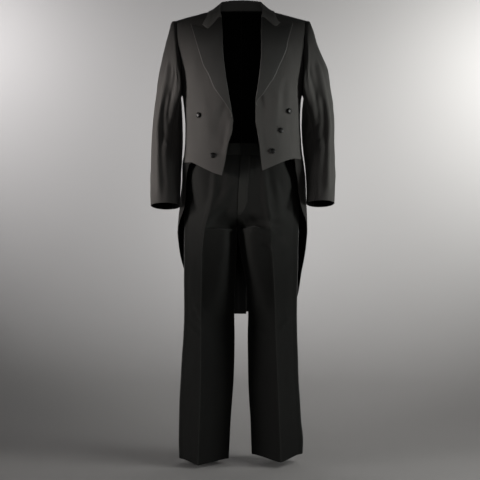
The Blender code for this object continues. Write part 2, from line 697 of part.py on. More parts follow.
def sleeve_form(side):
    """Points by way (0 at the armhole, 1 at the cuff) and turn (0 outside, a quarter in front)."""
    ways = np.concatenate([[0.0], SLEEVE.column["way"]])
    top = armhole(side, math.pi, False)[0]
    low = armhole(side, 0.0, False)[0]
    ahead = armhole(side, math.pi / 2, False)[0]
    hind = armhole(side, math.pi / 2, True)[0]
    start = {
        "outer_" + side: top[0],
        "outer_z": top[2],
        "inner_" + side: low[0],
        "inner_z": low[2],
        "middle_y": 0.0,
        "front_y": ahead[1],
        "front_z": ahead[2],
        "back_y": hind[1],
        "back_z": hind[2],
        "twist": 0.0,
    }

    def read(name, way):
        return monotone(ways, np.concatenate([[start[name]], SLEEVE.column[name]]), way)

    def point(turn, way):
        turn, way = np.broadcast_arrays(np.asarray(turn, float), np.asarray(way, float))
        rise = LEFT_CUFF_RISE * ease((way - 0.5) / 0.5) if side == "left" else 0.0
        outer = stack(read("outer_" + side, way), read("middle_y", way), read("outer_z", way) + rise)
        inner = stack(read("inner_" + side, way), read("middle_y", way), read("inner_z", way) + rise)
        middle = (outer + inner) / 2
        front = stack(middle[..., 0], read("front_y", way), read("front_z", way) + rise)
        back = stack(middle[..., 0], read("back_y", way), read("back_z", way) + rise)
        c, s = np.cos(turn)[..., None], np.sin(turn)[..., None]
        swing = np.where(s > 0, (front - middle) * s, (back - middle) * -s)
        ring = middle + (outer - inner) / 2 * c + swing
        # The section is flattened aslant: its width is counted from a turned starting point,
        # so that the front edge lies near the armhole on top and near the outside below.
        twist = np.radians(read("twist", way))
        half_wide = (outer - inner)[..., 0] / 2
        ring[..., 0] += half_wide * (np.cos(turn - twist) - np.cos(turn))
        # The first ring is the armhole itself, and the next few turn into the tube.
        from_low = np.abs(math.pi - np.mod(turn, 2 * math.pi))
        flat = from_low.ravel()
        hole_front = armhole(side, flat, False).reshape(ring.shape)
        hole_back = armhole(side, flat, True).reshape(ring.shape)
        hole = np.where(s > 0, hole_front, hole_back)
        tube_start = start_ring(turn)
        fade = (1 - ease(way / 0.14))[..., None]
        return ring + (hole - tube_start) * fade + np.array([ARMHOLE_GAP, 0.0, 0.0]) * fade

    def start_ring(turn):
        outer, inner = np.array([top[0], 0, top[2]]), np.array([low[0], 0, low[2]])
        middle = (outer + inner) / 2
        front = np.array([middle[0], ahead[1], ahead[2]])
        back = np.array([middle[0], hind[1], hind[2]])
        c, s = np.cos(turn)[..., None], np.sin(turn)[..., None]
        swing = np.where(s > 0, (front - middle) * s, (back - middle) * -s)
        return middle + (outer - inner) / 2 * c + swing

    return point


# The trousers


def centre_x(side, z):
    """The middle seam's x, counted outwards on this side."""
    return SIGN[side] * CENTRE.read("x", "z", np.maximum(z, CROTCH_Z)) + SEAM_GAP / 2


def quarter(side_x, side_y, crease_x, crease_y, share, open_angle, flat, soft=SIDE_SOFT):
    """An arc from the side of a leg (share 0) to its crease (share 1), flat where it is pressed."""
    angle = open_angle * share
    along = (1 - np.cos(angle)) / (1 - np.cos(open_angle))
    out = np.sin(angle) / np.sin(open_angle)
    flat = flat * ease(share / soft)
    along, out = along + (share - along) * flat, out + (share - out) * flat
    return side_x + (crease_x - side_x) * along, side_y + (crease_y - side_y) * out


def trouser_form(side):
    """Points by round (0 inseam, 1 front crease, 2 outseam, 3 back crease, 4 inseam) and height."""

    def point(around, z):
        around, z = np.broadcast_arrays(np.asarray(around, float), np.asarray(z, float))
        out = TROUSER.read("out_" + side, "z", z)
        below = z < CROTCH_Z
        inner = np.where(below, TROUSER.read("in_" + side, "z", z), centre_x(side, z))
        crease = TROUSER.read("crease_" + side, "z", z)
        back_crease = crease - 12
        front_y, back_y = TROUSER.read("front", "z", z), TROUSER.read("back", "z", z)
        crease_share = ease((CREASE_START_Z - z) / (CREASE_START_Z - CREASE_FULL_Z))
        open_angle = math.radians(88) - math.radians(34) * crease_share
        flat = FRONT_FLAT * ease((CREASE_START_Z - z) / (CREASE_START_Z - CROTCH_Z))
        back_flat = BACK_FLAT * ease((CROTCH_Z - z) / (CROTCH_Z - CREASE_FULL_Z))
        quad = np.clip(np.floor(around), 0, 3)
        t = around - quad
        inseam_y = CROTCH_Y * (1 - ease((CROTCH_Z - z) / 350)) - 3 * ease((CROTCH_Z - z) / 700)
        # Height up the crotch curve, front and back
        up_front = np.clip((z - CROTCH_Z) / FORK_FRONT, 0, 1)
        up_back = np.clip((z - CROTCH_Z) / FORK_BACK, 0, 1)
        open_front = np.sqrt(np.maximum(1 - (1 - up_front) ** 2, 0))
        open_back = np.sqrt(np.maximum(1 - (1 - up_back) ** 2, 0))
        middle_front = CROTCH_Y + (TROUSER.read("belly", "z", z) - CROTCH_Y) * open_front
        middle_back = CROTCH_Y + (TROUSER.read("seat", "z", z) - CROTCH_Y) * open_back
        low_front = np.where(below, inseam_y, middle_front)
        low_back = np.where(below, inseam_y, middle_back)

        thigh = 1 + (THIGH_FULL - 1) * ease((z - THIGH_LOW_Z) / (CROTCH_Z - THIGH_LOW_Z))

        def inner_arc(share, start_y, end_x, end_y, opened, pressed):
            leg_x, out = quarter(inner, 0, end_x, 1, share, open_angle, pressed, INSEAM_SOFT)
            leg_y = start_y + (end_y - start_y) * (1 - (1 - out) ** thigh)
            body_x = inner + (end_x - inner) * share
            body_y = start_y + (end_y - start_y) * (1 - np.cos(share * math.pi / 2))
            return leg_x + (body_x - leg_x) * opened, leg_y + (body_y - leg_y) * opened

        x0, y0 = inner_arc(t, low_front, crease, front_y, np.where(below, 0, open_front), flat)
        x1, y1 = quarter(out, OUTSEAM_Y, crease, front_y, 1 - t, open_angle, flat)
        x2, y2 = quarter(out, OUTSEAM_Y, back_crease, back_y, t, open_angle, back_flat)
        x3, y3 = inner_arc(1 - t, low_back, back_crease, back_y, np.where(below, 0, open_back), back_flat)
        x = np.choose(quad.astype(int), (x0, x1, x2, x3))
        y = np.choose(quad.astype(int), (y0, y1, y2, y3))
        # The pressed creases stand a little proud.
        rise = CREASE_RISE * crease_share
        y = y - np.where(quad < 2, rise * np.exp(-np.abs(x - crease) / CREASE_SOFT), 0)
        y = y + np.where(quad >= 2, rise * np.exp(-np.abs(x - back_crease) / CREASE_SOFT), 0)
        return stack(x, y, z)

    return point


def trouser_normals(form, around, z):
    """Normals by differences taken inside the panel's own quarters."""
    d = 0.002
    a0 = np.clip(around - d, 0, 4)
    a1 = np.clip(around + d, 0, 4)
    on_front, on_back = np.abs(around - 1) < 1e-6, np.abs(around - 3) < 1e-6
    a0, a1 = np.where(on_front | on_back, around - 0.06, a0), np.where(on_front | on_back, around + 0.06, a1)
    along = form(a1, z) - form(a0, z)
    up = form(around, z + 0.5) - form(around, z - 0.5)
    return unit(np.cross(along, up))


def hem_z(side, around):
    dip = np.abs(np.sin(around * math.pi / 2)) ** 3
    return HEM_SIDE[side] - HEM_DIP[side] * dip


SEAT_ROWS = (  # heights of the panel's rows at the outseam and at the middle seam
    (-516, -516), (-545, -548), (-580, -584), (-615, -622), (-645, -658), (-672, -690), (-697, -716),
    (-718, -736), (-735, -750), (-750, -759), (-763, -763),
)
LEG_ROWS = (-792, -830, -880, -935, -990, -1045, -1095, -1145, -1200, -1270, -1350, -1440, -1500, -1548)
FRONT_STATIONS = (0, 0.18, 0.38, 0.6, 0.82, 1.0, 1.18, 1.4, 1.62, 1.82, 2.0)


def trouser_grid(side, stations):
    """Round and height over a leg panel. Its rows crowd together at the crotch only."""
    around = np.array(stations, float)
    inward = ease(1 - np.minimum(around % 4, 4 - around % 4) / 1.0) if stations[0] == 0 else ease(around - 3)
    rows = []
    for outer_z, inner_z in SEAT_ROWS:
        rows.append(outer_z + (inner_z - outer_z) * inward)
    full = LEG_ROWS[-1]
    for z in LEG_ROWS:
        share = (z - CROTCH_Z) / (full - CROTCH_Z)
        rows.append(CROTCH_Z + share * (hem_z(side, around) - CROTCH_Z))
    z = np.array(rows)
    return np.broadcast_to(around, z.shape).copy(), z


def folds(rows, x, z):
    """Height of the soft ridges and troughs at each x and z."""
    total = np.zeros(np.shape(x))
    for row in rows:
        fold = dict(zip(FOLD_COLUMNS, row))
        run = np.array([fold["x1"] - fold["x0"], fold["z1"] - fold["z0"]], float)
        length = np.hypot(*run)
        run /= length
        dx, dz = x - fold["x0"], z - fold["z0"]
        along = (dx * run[0] + dz * run[1]) / length
        off = dz * run[0] - dx * run[1]
        ends = ease(along / 0.3 + 0.3) * ease((1 - along) / 0.3 + 0.3)
        total += fold["height"] * ends * np.exp(-((off / fold["spread"]) ** 2))
    return total


# Making the solids


def material(name, colour, roughness):
    made = bpy.data.materials.new(name)
    made.use_nodes = True
    shader = made.node_tree.nodes["Principled BSDF"]
    shader.inputs["Base Color"].default_value = colour
    shader.inputs["Roughness"].default_value = roughness
    return made


def add_object(name, bm, finish):
    mesh = bpy.data.meshes.new(name)
    bm.to_mesh(mesh)
    bm.free()
    mesh.materials.append(material(name + "_finish", *finish))
    mesh.shade_smooth()
    mesh.set_sharp_from_angle(angle=math.radians(40))
    made = bpy.data.objects.new(name, mesh)
    bpy.context.scene.collection.objects.link(made)
    return made


def wall(name, side, outer, inner, finish=(WOOL, 0.75), closed=False):
    """A cloth wall between two grids of points of the same size, closed all round its border."""
    turn = np.array([SIGN[side] if side else 1.0, 1, 1]) * MM
    rows, columns = outer.shape[:2]
    bm = bmesh.new()
    skins = []
    for grid in (outer, inner):
        skins.append([[bm.verts.new(p * turn) for p in row] for row in grid])
    out, back = skins
    last = columns if closed else columns - 1
    for i in range(rows - 1):
        for j in range(last):
            k = (j + 1) % columns
            bm.faces.new((out[i][j], out[i][k], out[i + 1][k], out[i + 1][j]))
            bm.faces.new((back[i + 1][j], back[i + 1][k], back[i][k], back[i][j]))
    for j in range(last):
        k = (j + 1) % columns
        bm.faces.new((back[0][j], back[0][k], out[0][k], out[0][j]))
        bm.faces.new((out[-1][j], out[-1][k], back[-1][k], back[-1][j]))
    if not closed:
        for i in range(rows - 1):
            bm.faces.new((out[i][0], out[i + 1][0], back[i + 1][0], back[i][0]))
            bm.faces.new((back[i][-1], back[i + 1][-1], out[i + 1][-1], out[i][-1]))
    bmesh.ops.triangulate(bm, faces=bm.faces, quad_method="SHORT_EDGE")
    if bm.calc_volume(signed=True) < 0:
        bmesh.ops.reverse_faces(bm, faces=bm.faces)
    return add_object(name, bm, finish)


def pull_in(points, gaps):
    """Moves a grid's borders inwards by the gap of each seam: low, high, first, last."""
    grid = points.copy()
    low, high, first, last = gaps
    for border, inside, gap in (
        (grid[0], points[1], low), (grid[-1], points[-2], high),
    ):
        border += unit(inside - border) * gap
    for border, inside, gap in (
        (grid[:, 0], grid[:, 1].copy(), first), (grid[:, -1], grid[:, -2].copy(), last),
    ):
        border += unit(inside - border) * gap
    return grid


def grid_normals(points):
    return unit(np.cross(np.gradient(points, axis=1), np.gradient(points, axis=0)))


HALF = SEAM_GAP / 2


def make_coat_fronts():
    for side in SIGN:
        grid = front_grid(side)
        points, normals = face(front_form(side), grid[..., 0], grid[..., 1])
        points = pull_in(points, (HALF, 0.0, 0.0, HALF))
        wall("coat_front_" + side, side, points, points - normals * CLOTH)


def make_coat_sides():
    for side in SIGN:
        grid = side_grid(side)
        points, normals = face(side_form(side), grid[..., 0], grid[..., 1], db=1.0)
        points = pull_in(points, (HALF, 0.0, HALF, HALF))
        wall("coat_side_" + side, side, points, points - normals * CLOTH)


def vent_step(points):
    """The right tail dips under the left one at the vent."""
    below = ease((VENT_TOP_Z - points[..., 2]) / 30)
    near = ease((15 - points[..., 0]) / 11)
    return (CLOTH + LAY_GAP + 0.4) * below * near


def make_coat_backs():
    for side in SIGN:
        grid = back_grid(side)
        points, normals = face(back_form(side), grid[..., 0], grid[..., 1])
        if side == "right":
            points[..., 1] -= vent_step(points)
        points = pull_in(points, (0.0, 0.0, HALF, HALF))
        wall("coat_back_" + side, side, points, points - normals * CLOTH)


def make_coat_skirts():
    for side in SIGN:
        grid = skirt_grid(side)
        points, normals = face(skirt_form(side), grid[..., 0], grid[..., 1], db=1.0)
        points = pull_in(points, (0.0, HALF, 0.0, HALF))
        wall("coat_skirt_" + side, side, points, points - normals * CLOTH)


def lay_on_front(side, xz, out):
    """Points at x and z of the front's outer face, moved out from it."""
    place = to_form(side, xz[..., 0], xz[..., 1], False)
    points, normals = face(front_form(side), place[..., 0], place[..., 1])
    return points + normals * np.asarray(out, float)[..., None]


def lapel_points(side, rows=14, columns=6, turn_cells=3):
    """The outer face of a lapel: it rolls round the front edge and lies on the panel."""
    v = np.linspace(0, 1, rows + 1)
    roll_z = LAPEL_BREAK_Z[side] + (LAPEL_TOP_Z - LAPEL_BREAK_Z[side]) * v
    roll = stack(edge_x(side, roll_z), roll_z)
    foot = roll[0] + [7, 5]
    outer = polyline(np.array((foot,) + LAPEL[side], float), v)
    u = np.linspace(0, 1, columns + 1)
    top = polyline(np.array((roll[-1], LAPEL_NOTCH[side], LAPEL[side][-1]), float), u)
    flat = patch(roll[0] + (foot - roll[0]) * u[:, None], top, roll, outer)
    lay = FACING + LAY_GAP + LAPEL_SPRING * u + 0 * v[:, None]
    body = lay_on_front(side, flat, lay)
    reach = TURN_ROUND * (0.14 + 0.86 * ease(v * 4))
    turned = []
    for k in range(turn_cells, 0, -1):
        angle = reach * k / turn_cells
        line = roll - stack(TURN_RADIUS * np.sin(angle), 0 * angle)
        turned.append(lay_on_front(side, line, TURN_RADIUS * np.cos(angle) - CLOTH / 2))
    return np.concatenate([np.stack(turned, axis=1), body], axis=1)


def make_lapels():
    for side in SIGN:
        outer = lapel_points(side)
        normals = grid_normals(outer)
        outer = pull_in(outer, (0.0, 0.5, 0.0, 0.0))
        wall("lapel_" + side, side, outer, outer - normals * FACING, (SILK, 0.45))


def coat_cloud(side, steps=90):
    """Points and normals of the upper coat, close together, to keep the collar clear of it."""
    clouds = []
    for form, turns in ((front_form(side), (0.15, 1.2)), (back_form(side), (1.9, math.pi))):
        turn, level = np.meshgrid(np.linspace(*turns, steps), np.linspace(0.3, 1, steps))
        points, normals = face(form, turn, level, db=-0.004)
        normals *= np.sign(normals[..., 2:])
        clouds.append((points.reshape(-1, 3), normals.reshape(-1, 3)))
    return [np.concatenate(part) for part in zip(*clouds)]


def keep_clear(points, cloud, offset):
    """Lifts each point until it stands at least the offset away from the coat."""
    places, normals = cloud
    for _ in range(3):
        flat = points.reshape(-1, 1, 3)
        nearest = np.argmin(np.sum((flat - places[None]) ** 2, axis=-1), axis=1)
        height = np.sum((flat[:, 0] - places[nearest]) * normals[nearest], axis=1)
        lift = np.maximum(offset - height, 0)
        points = (flat[:, 0] + normals[nearest] * lift[:, None]).reshape(points.shape)
    return points


def neck_seam(side, ways):
    """Points, normals and the direction towards the neck along the neckline of half a coat."""
    x = np.linspace(0, SHOULDER_NECK_X, 40)
    back = to_form(side, x, NECK.read("z", "x", x), True)
    back[0, 0], back[-1, 1] = math.pi, 1.0
    z = np.linspace(SHOULDER_NECK_Z, GORGE_Z, 40)[1:]
    front = to_form(side, edge_x(side, z), z, False)
    behind, behind_normals = face(back_form(side), back[:, 0], back[:, 1] - 0.001, db=-0.001)
    ahead, ahead_normals = face(front_form(side), front[:, 0], front[:, 1] - 0.001, db=-0.001)
    points = np.concatenate([behind, ahead])
    normals = np.concatenate([behind_normals, ahead_normals])
    normals *= np.sign(normals[:, 2:])
    inward = unit(np.cross(np.gradient(points, axis=0), normals))
    inward *= np.sign(np.sum(inward * -points * [1, 1, 0], axis=1))[:, None]
    return [polyline_like(points, part, ways) for part in (points, unit(normals), inward)]


def polyline_like(path, values, at):
    """Values at shares of the path's length."""
    reach = np.concatenate([[0], np.cumsum(np.linalg.norm(np.diff(path, axis=0), axis=1))])
    at = np.asarray(at, float) * reach[-1]
    return stack(*(np.interp(at, reach, values[:, k]) for k in range(values.shape[1])))


def half_collar(side, cells=13):
    """The face of half a collar: up the stand, over the fold and down the fall, at each way."""
    ways = np.linspace(0, 1, cells + 1)
    seam, normals, inward = neck_seam(side, ways)
    lay = FACING + LAY_GAP
    # The end at the gorge turns round the edge as the lapel does, then runs out along the gorge.
    gorge = np.array([float(edge_x(side, GORGE_Z)), GORGE_Z])
    low, end = np.array(COLLAR_LOW[side]), np.array(COLLAR_END[side])
    angles = np.radians([90, 68, 45, 22])
    beside = gorge - stack(TURN_RADIUS * np.sin(angles), 0 * angles)
    first = lay_on_front(side, beside, TURN_RADIUS * np.cos(angles) - CLOTH / 2)
    leaf_end = np.array([gorge, (gorge + low) / 2, low, end])
    last_column = np.concatenate([first, lay_on_front(side, leaf_end, np.full(4, lay))])
    gorge_fold = first[2]
    # Fold and outer edge along the way
    def read(name, last):
        rows = COLLAR.column
        return monotone(np.append(rows["way"], 1.0), np.append(rows[name], last), ways)

    fold = stack(*(read("fold_" + axis, gorge_fold[k]) for k, axis in enumerate("xyz")))
    edge_xs, edge_zs = read("edge_x", end[0]), read("edge_z", end[1])
    hind = to_form(side, edge_xs, edge_zs, True)
    hind[0, 0] = math.pi
    ahead = to_form(side, edge_xs, edge_zs, False)
    behind = back_form(side)(hind[:, 0], hind[:, 1])
    before = front_form(side)(ahead[:, 0], ahead[:, 1])
    edge = np.where((ways < 0.5)[:, None], behind, before)
    # Sections: the fold's frame is level outwards and upright.
    along = unit(np.gradient(fold, axis=0))
    out = unit(np.cross(along, [0.0, 0.0, 1.0]))
    out *= np.sign(np.sum(out * fold * [1, 1, 0], axis=1))[:, None]
    upright = unit(np.cross(out, along))
    upright *= np.sign(upright[:, 2:])
    radius = COLLAR_FOLD
    foot = seam + inward * COLLAR_STEP_OFF - normals * CLOTH / 2
    fold_in = fold - out * radius - upright * radius
    fold_out = fold + out * radius - upright * radius
    thirds = [fold_out + (edge - fold_out) * share for share in (1 / 3, 2 / 3, 1)]
    grid = np.stack([foot, (foot + fold_in) / 2, fold_in, fold, fold_out] + thirds, axis=1)
    blend = ease((ways - 0.55) / 0.45)[:, None, None]
    shear = (last_column - grid[-1])[None]
    grid = grid + shear * blend
    lift = lay + 0.8 * ease((0.9 - ways) / 0.2)
    grid[:, 4:] = keep_clear(grid[:, 4:], coat_cloud(side), np.repeat(lift, 4))
    return grid


def make_collar():
    right, left = half_collar("right"), half_collar("left")
    grid = np.concatenate([right[::-1] * [-1, 1, 1], left[1:]])
    normals = grid_normals(grid)
    middle = grid.shape[0] // 2
    normals *= np.sign(normals[middle, 6, 1])
    wall("coat_collar", None, grid, grid - normals * FACING)


def make_buttons():
    for name, (side, x, z) in FRONT_BUTTONS.items():
        place = to_form(side, np.array([x]), np.array([z]), False)
        point, normal = face(front_form(side), place[:, 0], place[:, 1])
        button(name, side, point[0], normal[0])
    for side in SIGN:
        place = to_form(side, np.array([BACK_BUTTON_X]), np.array([BACK_BUTTON_Z]), True)
        point, normal = face(back_form(side), place[:, 0], place[:, 1])
        button("back_button_" + side, side, point[0] + normal[0] * BACK_BUTTON_LIFT, normal[0])


BUTTON_PROFILE = ((0.0, 0.0), (0.62, 0.0), (0.94, 0.22), (1.0, 0.45), (0.9, 0.7), (0.62, 0.92), (0.0, 1.0))


def button(name, side, point, normal, spokes=18):
    """A covered button: a turned, domed disc that sits on the cloth."""
    across = unit(np.cross(normal, [0.0, 0.0, 1.0]))
    upward = np.cross(across, normal)
    turn = np.array([SIGN[side], 1, 1]) * MM
    base = point + normal * LAY_GAP
    bm = bmesh.new()
    rings = []
    for radius, height in BUTTON_PROFILE:
        centre = base + normal * BUTTON_HEIGHT * height
        if radius == 0:
            rings.append([bm.verts.new(centre * turn)])
            continue
        ring = []
        for k in range(spokes):
            angle = 2 * math.pi * k / spokes
            spoke = across * math.cos(angle) + upward * math.sin(angle)
            ring.append(bm.verts.new((centre + spoke * radius * BUTTON_ACROSS / 2) * turn))
        rings.append(ring)
    for lower, higher in zip(rings, rings[1:]):
        for k in range(spokes):
            a, b = lower[k % len(lower)], lower[(k + 1) % len(lower)]
            c, d = higher[(k + 1) % len(higher)], higher[k % len(higher)]
            corners = []
            for vert in (a, b, c, d):
                if vert not in corners:
                    corners.append(vert)
            bm.faces.new(corners)
    bmesh.ops.triangulate(bm, faces=bm.faces)
    if bm.calc_volume(signed=True) < 0:
        bmesh.ops.reverse_faces(bm, faces=bm.faces)
    add_object(name, bm, (SILK, 0.4))


def make_sleeves():
    way = np.array([0, 0.03, 0.06, 0.1, 0.14, 0.2, 0.28, 0.36, 0.44, 0.52, 0.6, 0.68, 0.76, 0.84, 0.92, 1.0])
    for side in SIGN:
        form = sleeve_form(side)
        ahead = math.pi - np.linspace(math.pi, SIDE_SEAM_TURN, CHEST_CELLS + 1)
        below = math.pi + np.linspace(-SIDE_SEAM_TURN, SABRE_TURN, SIDE_CELLS + 1)
        hind = math.pi + np.linspace(SABRE_TURN, math.pi, BLADE_CELLS + 1) - 2 * math.pi
        pieces = {
            "sleeve_top_": np.concatenate([hind[:-1], ahead[:-1]]),
            "sleeve_under_": np.concatenate([ahead[-2:-1], below]),
        }
        for prefix, turns in pieces.items():
            turn, ways = np.meshgrid(turns, way)
            points = form(turn, ways)
            along = form(turn + 0.02, ways) - form(turn - 0.02, ways)
            down = form(turn, np.minimum(ways + 0.01, 1.0)) - form(turn, np.maximum(ways - 0.01, 0.0))
            normals = unit(np.cross(along, down))
            rows = folds(SLEEVE_FOLDS[side], *sleeve_flat(ways, turn))
            points = points + normals * (rows * ease(ways / 0.08) * ease((1 - ways) / 0.08))[..., None]
            points = pull_in(points, (0.0, 0.0, HALF, HALF))
            wall(prefix + side, side, points, points - normals * CLOTH)


def sleeve_flat(ways, turn):
    """The sleeve laid out flat, in units in which its folds are written."""
    return ways, np.degrees(turn) / 250.0


def make_trousers():
    for side in SIGN:
        form = trouser_form(side)
        front = trouser_grid(side, FRONT_STATIONS)
        back = trouser_grid(side, [4 - s for s in reversed(FRONT_STATIONS)])
        for name, (around, z), ahead in (("front", front, True), ("back", back, False)):
            points = form(around, z)
            normals = trouser_normals(form, around, z)
            outwards = points - np.array([110.0, 0.0, 0.0])
            if np.sum(normals[..., 1] * outwards[..., 1]) < 0:
                normals = -normals
            if ahead:
                rise = folds(TROUSER_FOLDS[side], points[..., 0], points[..., 2])
                middle = ease(around / 0.25) * ease((2 - around) / 0.25)
                points = points + normals * (rise * middle)[..., None]
            points = pull_in(points, (HALF, 0.0, HALF, HALF))
            wall("trouser_" + name + "_" + side, side, points, points - normals * CLOTH)


def make_waistband():
    for side in SIGN:
        form = trouser_form(side)
        stations = np.concatenate([np.linspace(0, 2, 11), np.linspace(2, 4, 11)[1:]])
        low, top = WAIST_TOP_Z - WAISTBAND_DEPTH, WAIST_TOP_Z
        around, z = np.meshgrid(stations, np.array([low, (low + top) / 2, top]))
        points = form(around, z)
        normals = trouser_normals(form, around, z)
        if np.sum(normals[..., 1] * points[..., 1]) < 0:
            normals = -normals
        points = points + normals * WAISTBAND_LIFT
        points = pull_in(points, (HALF, 0.0, HALF, HALF))
        wall("waistband_" + side, side, points, points - normals * CLOTH)


def make_fly():
    """The edge of the left front that laps over the opening, curved in at its foot."""
    form = trouser_form("left")
    z = np.linspace(FLY_LOW_Z, WAIST_TOP_Z - WAISTBAND_DEPTH - 1.0, 15)
    width = FLY_WIDTH * np.sqrt(np.clip((z - FLY_LOW_Z + 3) / 46, 0, 1))
    crease = TROUSER.read("crease_left", "z", z)
    inner = centre_x("left", z)
    columns = np.linspace(0, 1, 4)
    around = (width[:, None] * columns[None]) / (crease - inner)[:, None] + 0.004
    heights = np.broadcast_to(z[:, None], around.shape)
    points = form(around, heights)
    normals = trouser_normals(form, around, heights)
    if normals[..., 1].mean() > 0:
        normals = -normals
    rise = folds(TROUSER_FOLDS["left"], points[..., 0], points[..., 2]) * ease(around / 0.25)
    points = points + normals * (rise + LAY_GAP + BRAID)[..., None]
    wall("trouser_fly", "left", points, points - normals * BRAID)


def make_braids():
    for side in SIGN:
        form = trouser_form(side)
        rows = [-518.0, -545, -580, -615, -650, -690, -730] + list(LEG_ROWS)
        z = np.array(rows)
        full = LEG_ROWS[-1]
        share = np.clip((z - CROTCH_Z) / (full - CROTCH_Z), 0, 1)
        z = np.where(z < CROTCH_Z, CROTCH_Z + share * (HEM_SIDE[side] - CROTCH_Z), z)
        half = BRAID_WIDTH / 2
        around, heights = np.meshgrid(np.linspace(-1, 1, 4), z)
        reach = TROUSER.read("front", "z", heights) * -1.35
        around = 2 + around * half / reach
        points = form(around, heights)
        normals = trouser_normals(form, around, heights)
        if normals[..., 0].mean() < 0:
            normals = -normals
        points = points + normals * (LAY_GAP + BRAID)
        wall("braid_" + side, side, points, points - normals * BRAID, (SILK, 0.4))


def main():
    for old in list(bpy.data.objects):
        bpy.data.objects.remove(old, do_unlink=True)
    make_coat_fronts()
    make_coat_sides()
    make_coat_backs()
    make_coat_skirts()
    make_lapels()
    make_collar()
    make_buttons()
    make_sleeves()
    make_trousers()
    make_waistband()
    make_fly()
    make_braids()


main()
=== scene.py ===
# %% [markdown]
# # An evening tailcoat with its trousers
#
# The real garment is wool barathea, cut in panels that are sewn edge to edge, with peak lapels faced in
# black silk. It hangs hollow, held at the neck. Every panel below is one sheet of cloth: a grid that is
# moved onto the form of its panel, given its folds, and then given its thickness.
# The garment could be sculpted in one piece, or draped by a simulation from flat cuts. Panels shaped by
# functions were chosen because the pressed, tailored shape is known, and every seam then falls exactly
# where a tailor puts it.

# %% Load the fixed frame
import json
import math

import bpy
import numpy as np
from mathutils import Matrix, Vector, noise
from mathutils.kdtree import KDTree

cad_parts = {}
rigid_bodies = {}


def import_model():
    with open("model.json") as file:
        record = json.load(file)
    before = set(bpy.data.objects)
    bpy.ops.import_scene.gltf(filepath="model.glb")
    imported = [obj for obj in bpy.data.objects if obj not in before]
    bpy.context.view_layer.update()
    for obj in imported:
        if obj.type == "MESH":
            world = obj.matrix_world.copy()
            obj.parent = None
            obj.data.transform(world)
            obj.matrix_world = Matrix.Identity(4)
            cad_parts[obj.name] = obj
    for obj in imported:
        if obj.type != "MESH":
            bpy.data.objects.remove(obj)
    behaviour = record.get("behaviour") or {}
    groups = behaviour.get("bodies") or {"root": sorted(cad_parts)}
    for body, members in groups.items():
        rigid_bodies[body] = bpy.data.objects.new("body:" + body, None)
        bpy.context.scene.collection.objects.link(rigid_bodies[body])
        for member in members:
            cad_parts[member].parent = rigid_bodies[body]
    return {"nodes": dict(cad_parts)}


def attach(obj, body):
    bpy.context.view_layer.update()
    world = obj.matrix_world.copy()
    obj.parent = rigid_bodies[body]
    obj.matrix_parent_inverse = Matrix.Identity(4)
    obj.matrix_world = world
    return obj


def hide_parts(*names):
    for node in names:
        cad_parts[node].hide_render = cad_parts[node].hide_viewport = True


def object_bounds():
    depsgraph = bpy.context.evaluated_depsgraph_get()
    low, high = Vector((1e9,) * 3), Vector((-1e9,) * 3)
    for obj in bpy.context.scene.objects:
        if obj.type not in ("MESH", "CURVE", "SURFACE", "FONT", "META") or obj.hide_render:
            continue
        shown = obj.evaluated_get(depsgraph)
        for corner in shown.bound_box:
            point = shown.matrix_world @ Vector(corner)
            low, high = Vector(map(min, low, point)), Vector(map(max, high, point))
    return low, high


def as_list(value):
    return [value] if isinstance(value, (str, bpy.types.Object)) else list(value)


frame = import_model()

cad_low, cad_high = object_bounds()
print("frame", len(frame["nodes"]), "nodes, from", [round(v, 3) for v in cad_low])
print("to", [round(v, 3) for v in cad_high])

# %% [markdown]
# ## Sizes
#
# A tailor keeps a card of measures, and the tables here are that card: half widths and depths at
# heights below the neck, the front edge, the hem, the curved back seam, the lapels, the collar, the
# sleeves and the trousers. All are in millimetres. The neck's base is zero and the wearer's left is +X.
# Short tables read as smooth curves are easier to change than meshes, so nothing else is stored.

# %% Cloth and seams
MM = 0.001
SIGN = {"right": -1.0, "left": 1.0}
WOOL_THICK = 1.4
SILK_THICK = 1.1
SILK_TAPE = 0.6  # the braid
FACING = 1.8  # how far a lapel's face stands off the front
CLOTH = 2.0
LAY_GAP = 0.45
SEAM_GAP = 0.3

# %% Shoulders, neck and the coat's sections
SHOULDER_NECK_X = 80.0
SHOULDER_NECK_Z = -8.0
SHOULDER_SLOPE = 0.253
NECK_SLOPE = 0.45
FRONT_ROUND_Z = -160.0  # the chest starts to round into the shoulder here
BACK_ROUND_Z = -150.0
FRONT_ROUND_POWER = 2.0
BACK_ROUND_POWER = 1.6
ROUNDING = {False: (FRONT_ROUND_Z, FRONT_ROUND_POWER), True: (BACK_ROUND_Z, BACK_ROUND_POWER)}
SECTION_POWER = 2.4  # a round-cornered section between an ellipse and a box
LEVEL_STEP = 116.0  # millimetres of height for one unit of level below the rounding

# Half widths and depths of the coat, at heights below the neck
COAT_COLUMNS = ("z", "half_right", "half_left", "front", "skirt_front", "back")
COAT_ROWS = (
    (40, 236, 234, 110, 110, 112),
    (-50, 238, 236, 118, 118, 117),
    (-100, 235, 232, 123, 123, 120),
    (-165, 226, 228, 127, 127, 121),
    (-224, 215, 222, 129, 129, 118),
    (-300, 203.5, 209.5, 128, 128, 108),
    (-350, 197, 204, 126, 126, 99),
    (-400, 193.5, 202.5, 126, 126, 95),
    (-450, 194, 205, 129, 129, 97),
    (-500, 198, 209, 134, 132, 105),
    (-540, 203.5, 215.5, 138, 132, 117),
    (-600, 207.5, 220.5, 143, 118, 135),
    (-664, 212.5, 223.5, 145, 103, 147.5),
    (-730, 217, 226.5, 145, 92, 152.3),
    (-800, 219.5, 227.5, 145, 85, 151),
    (-900, 219.5, 227.5, 145, 85, 154),
    (-1080, 219.5, 227.5, 145, 85, 155),
)

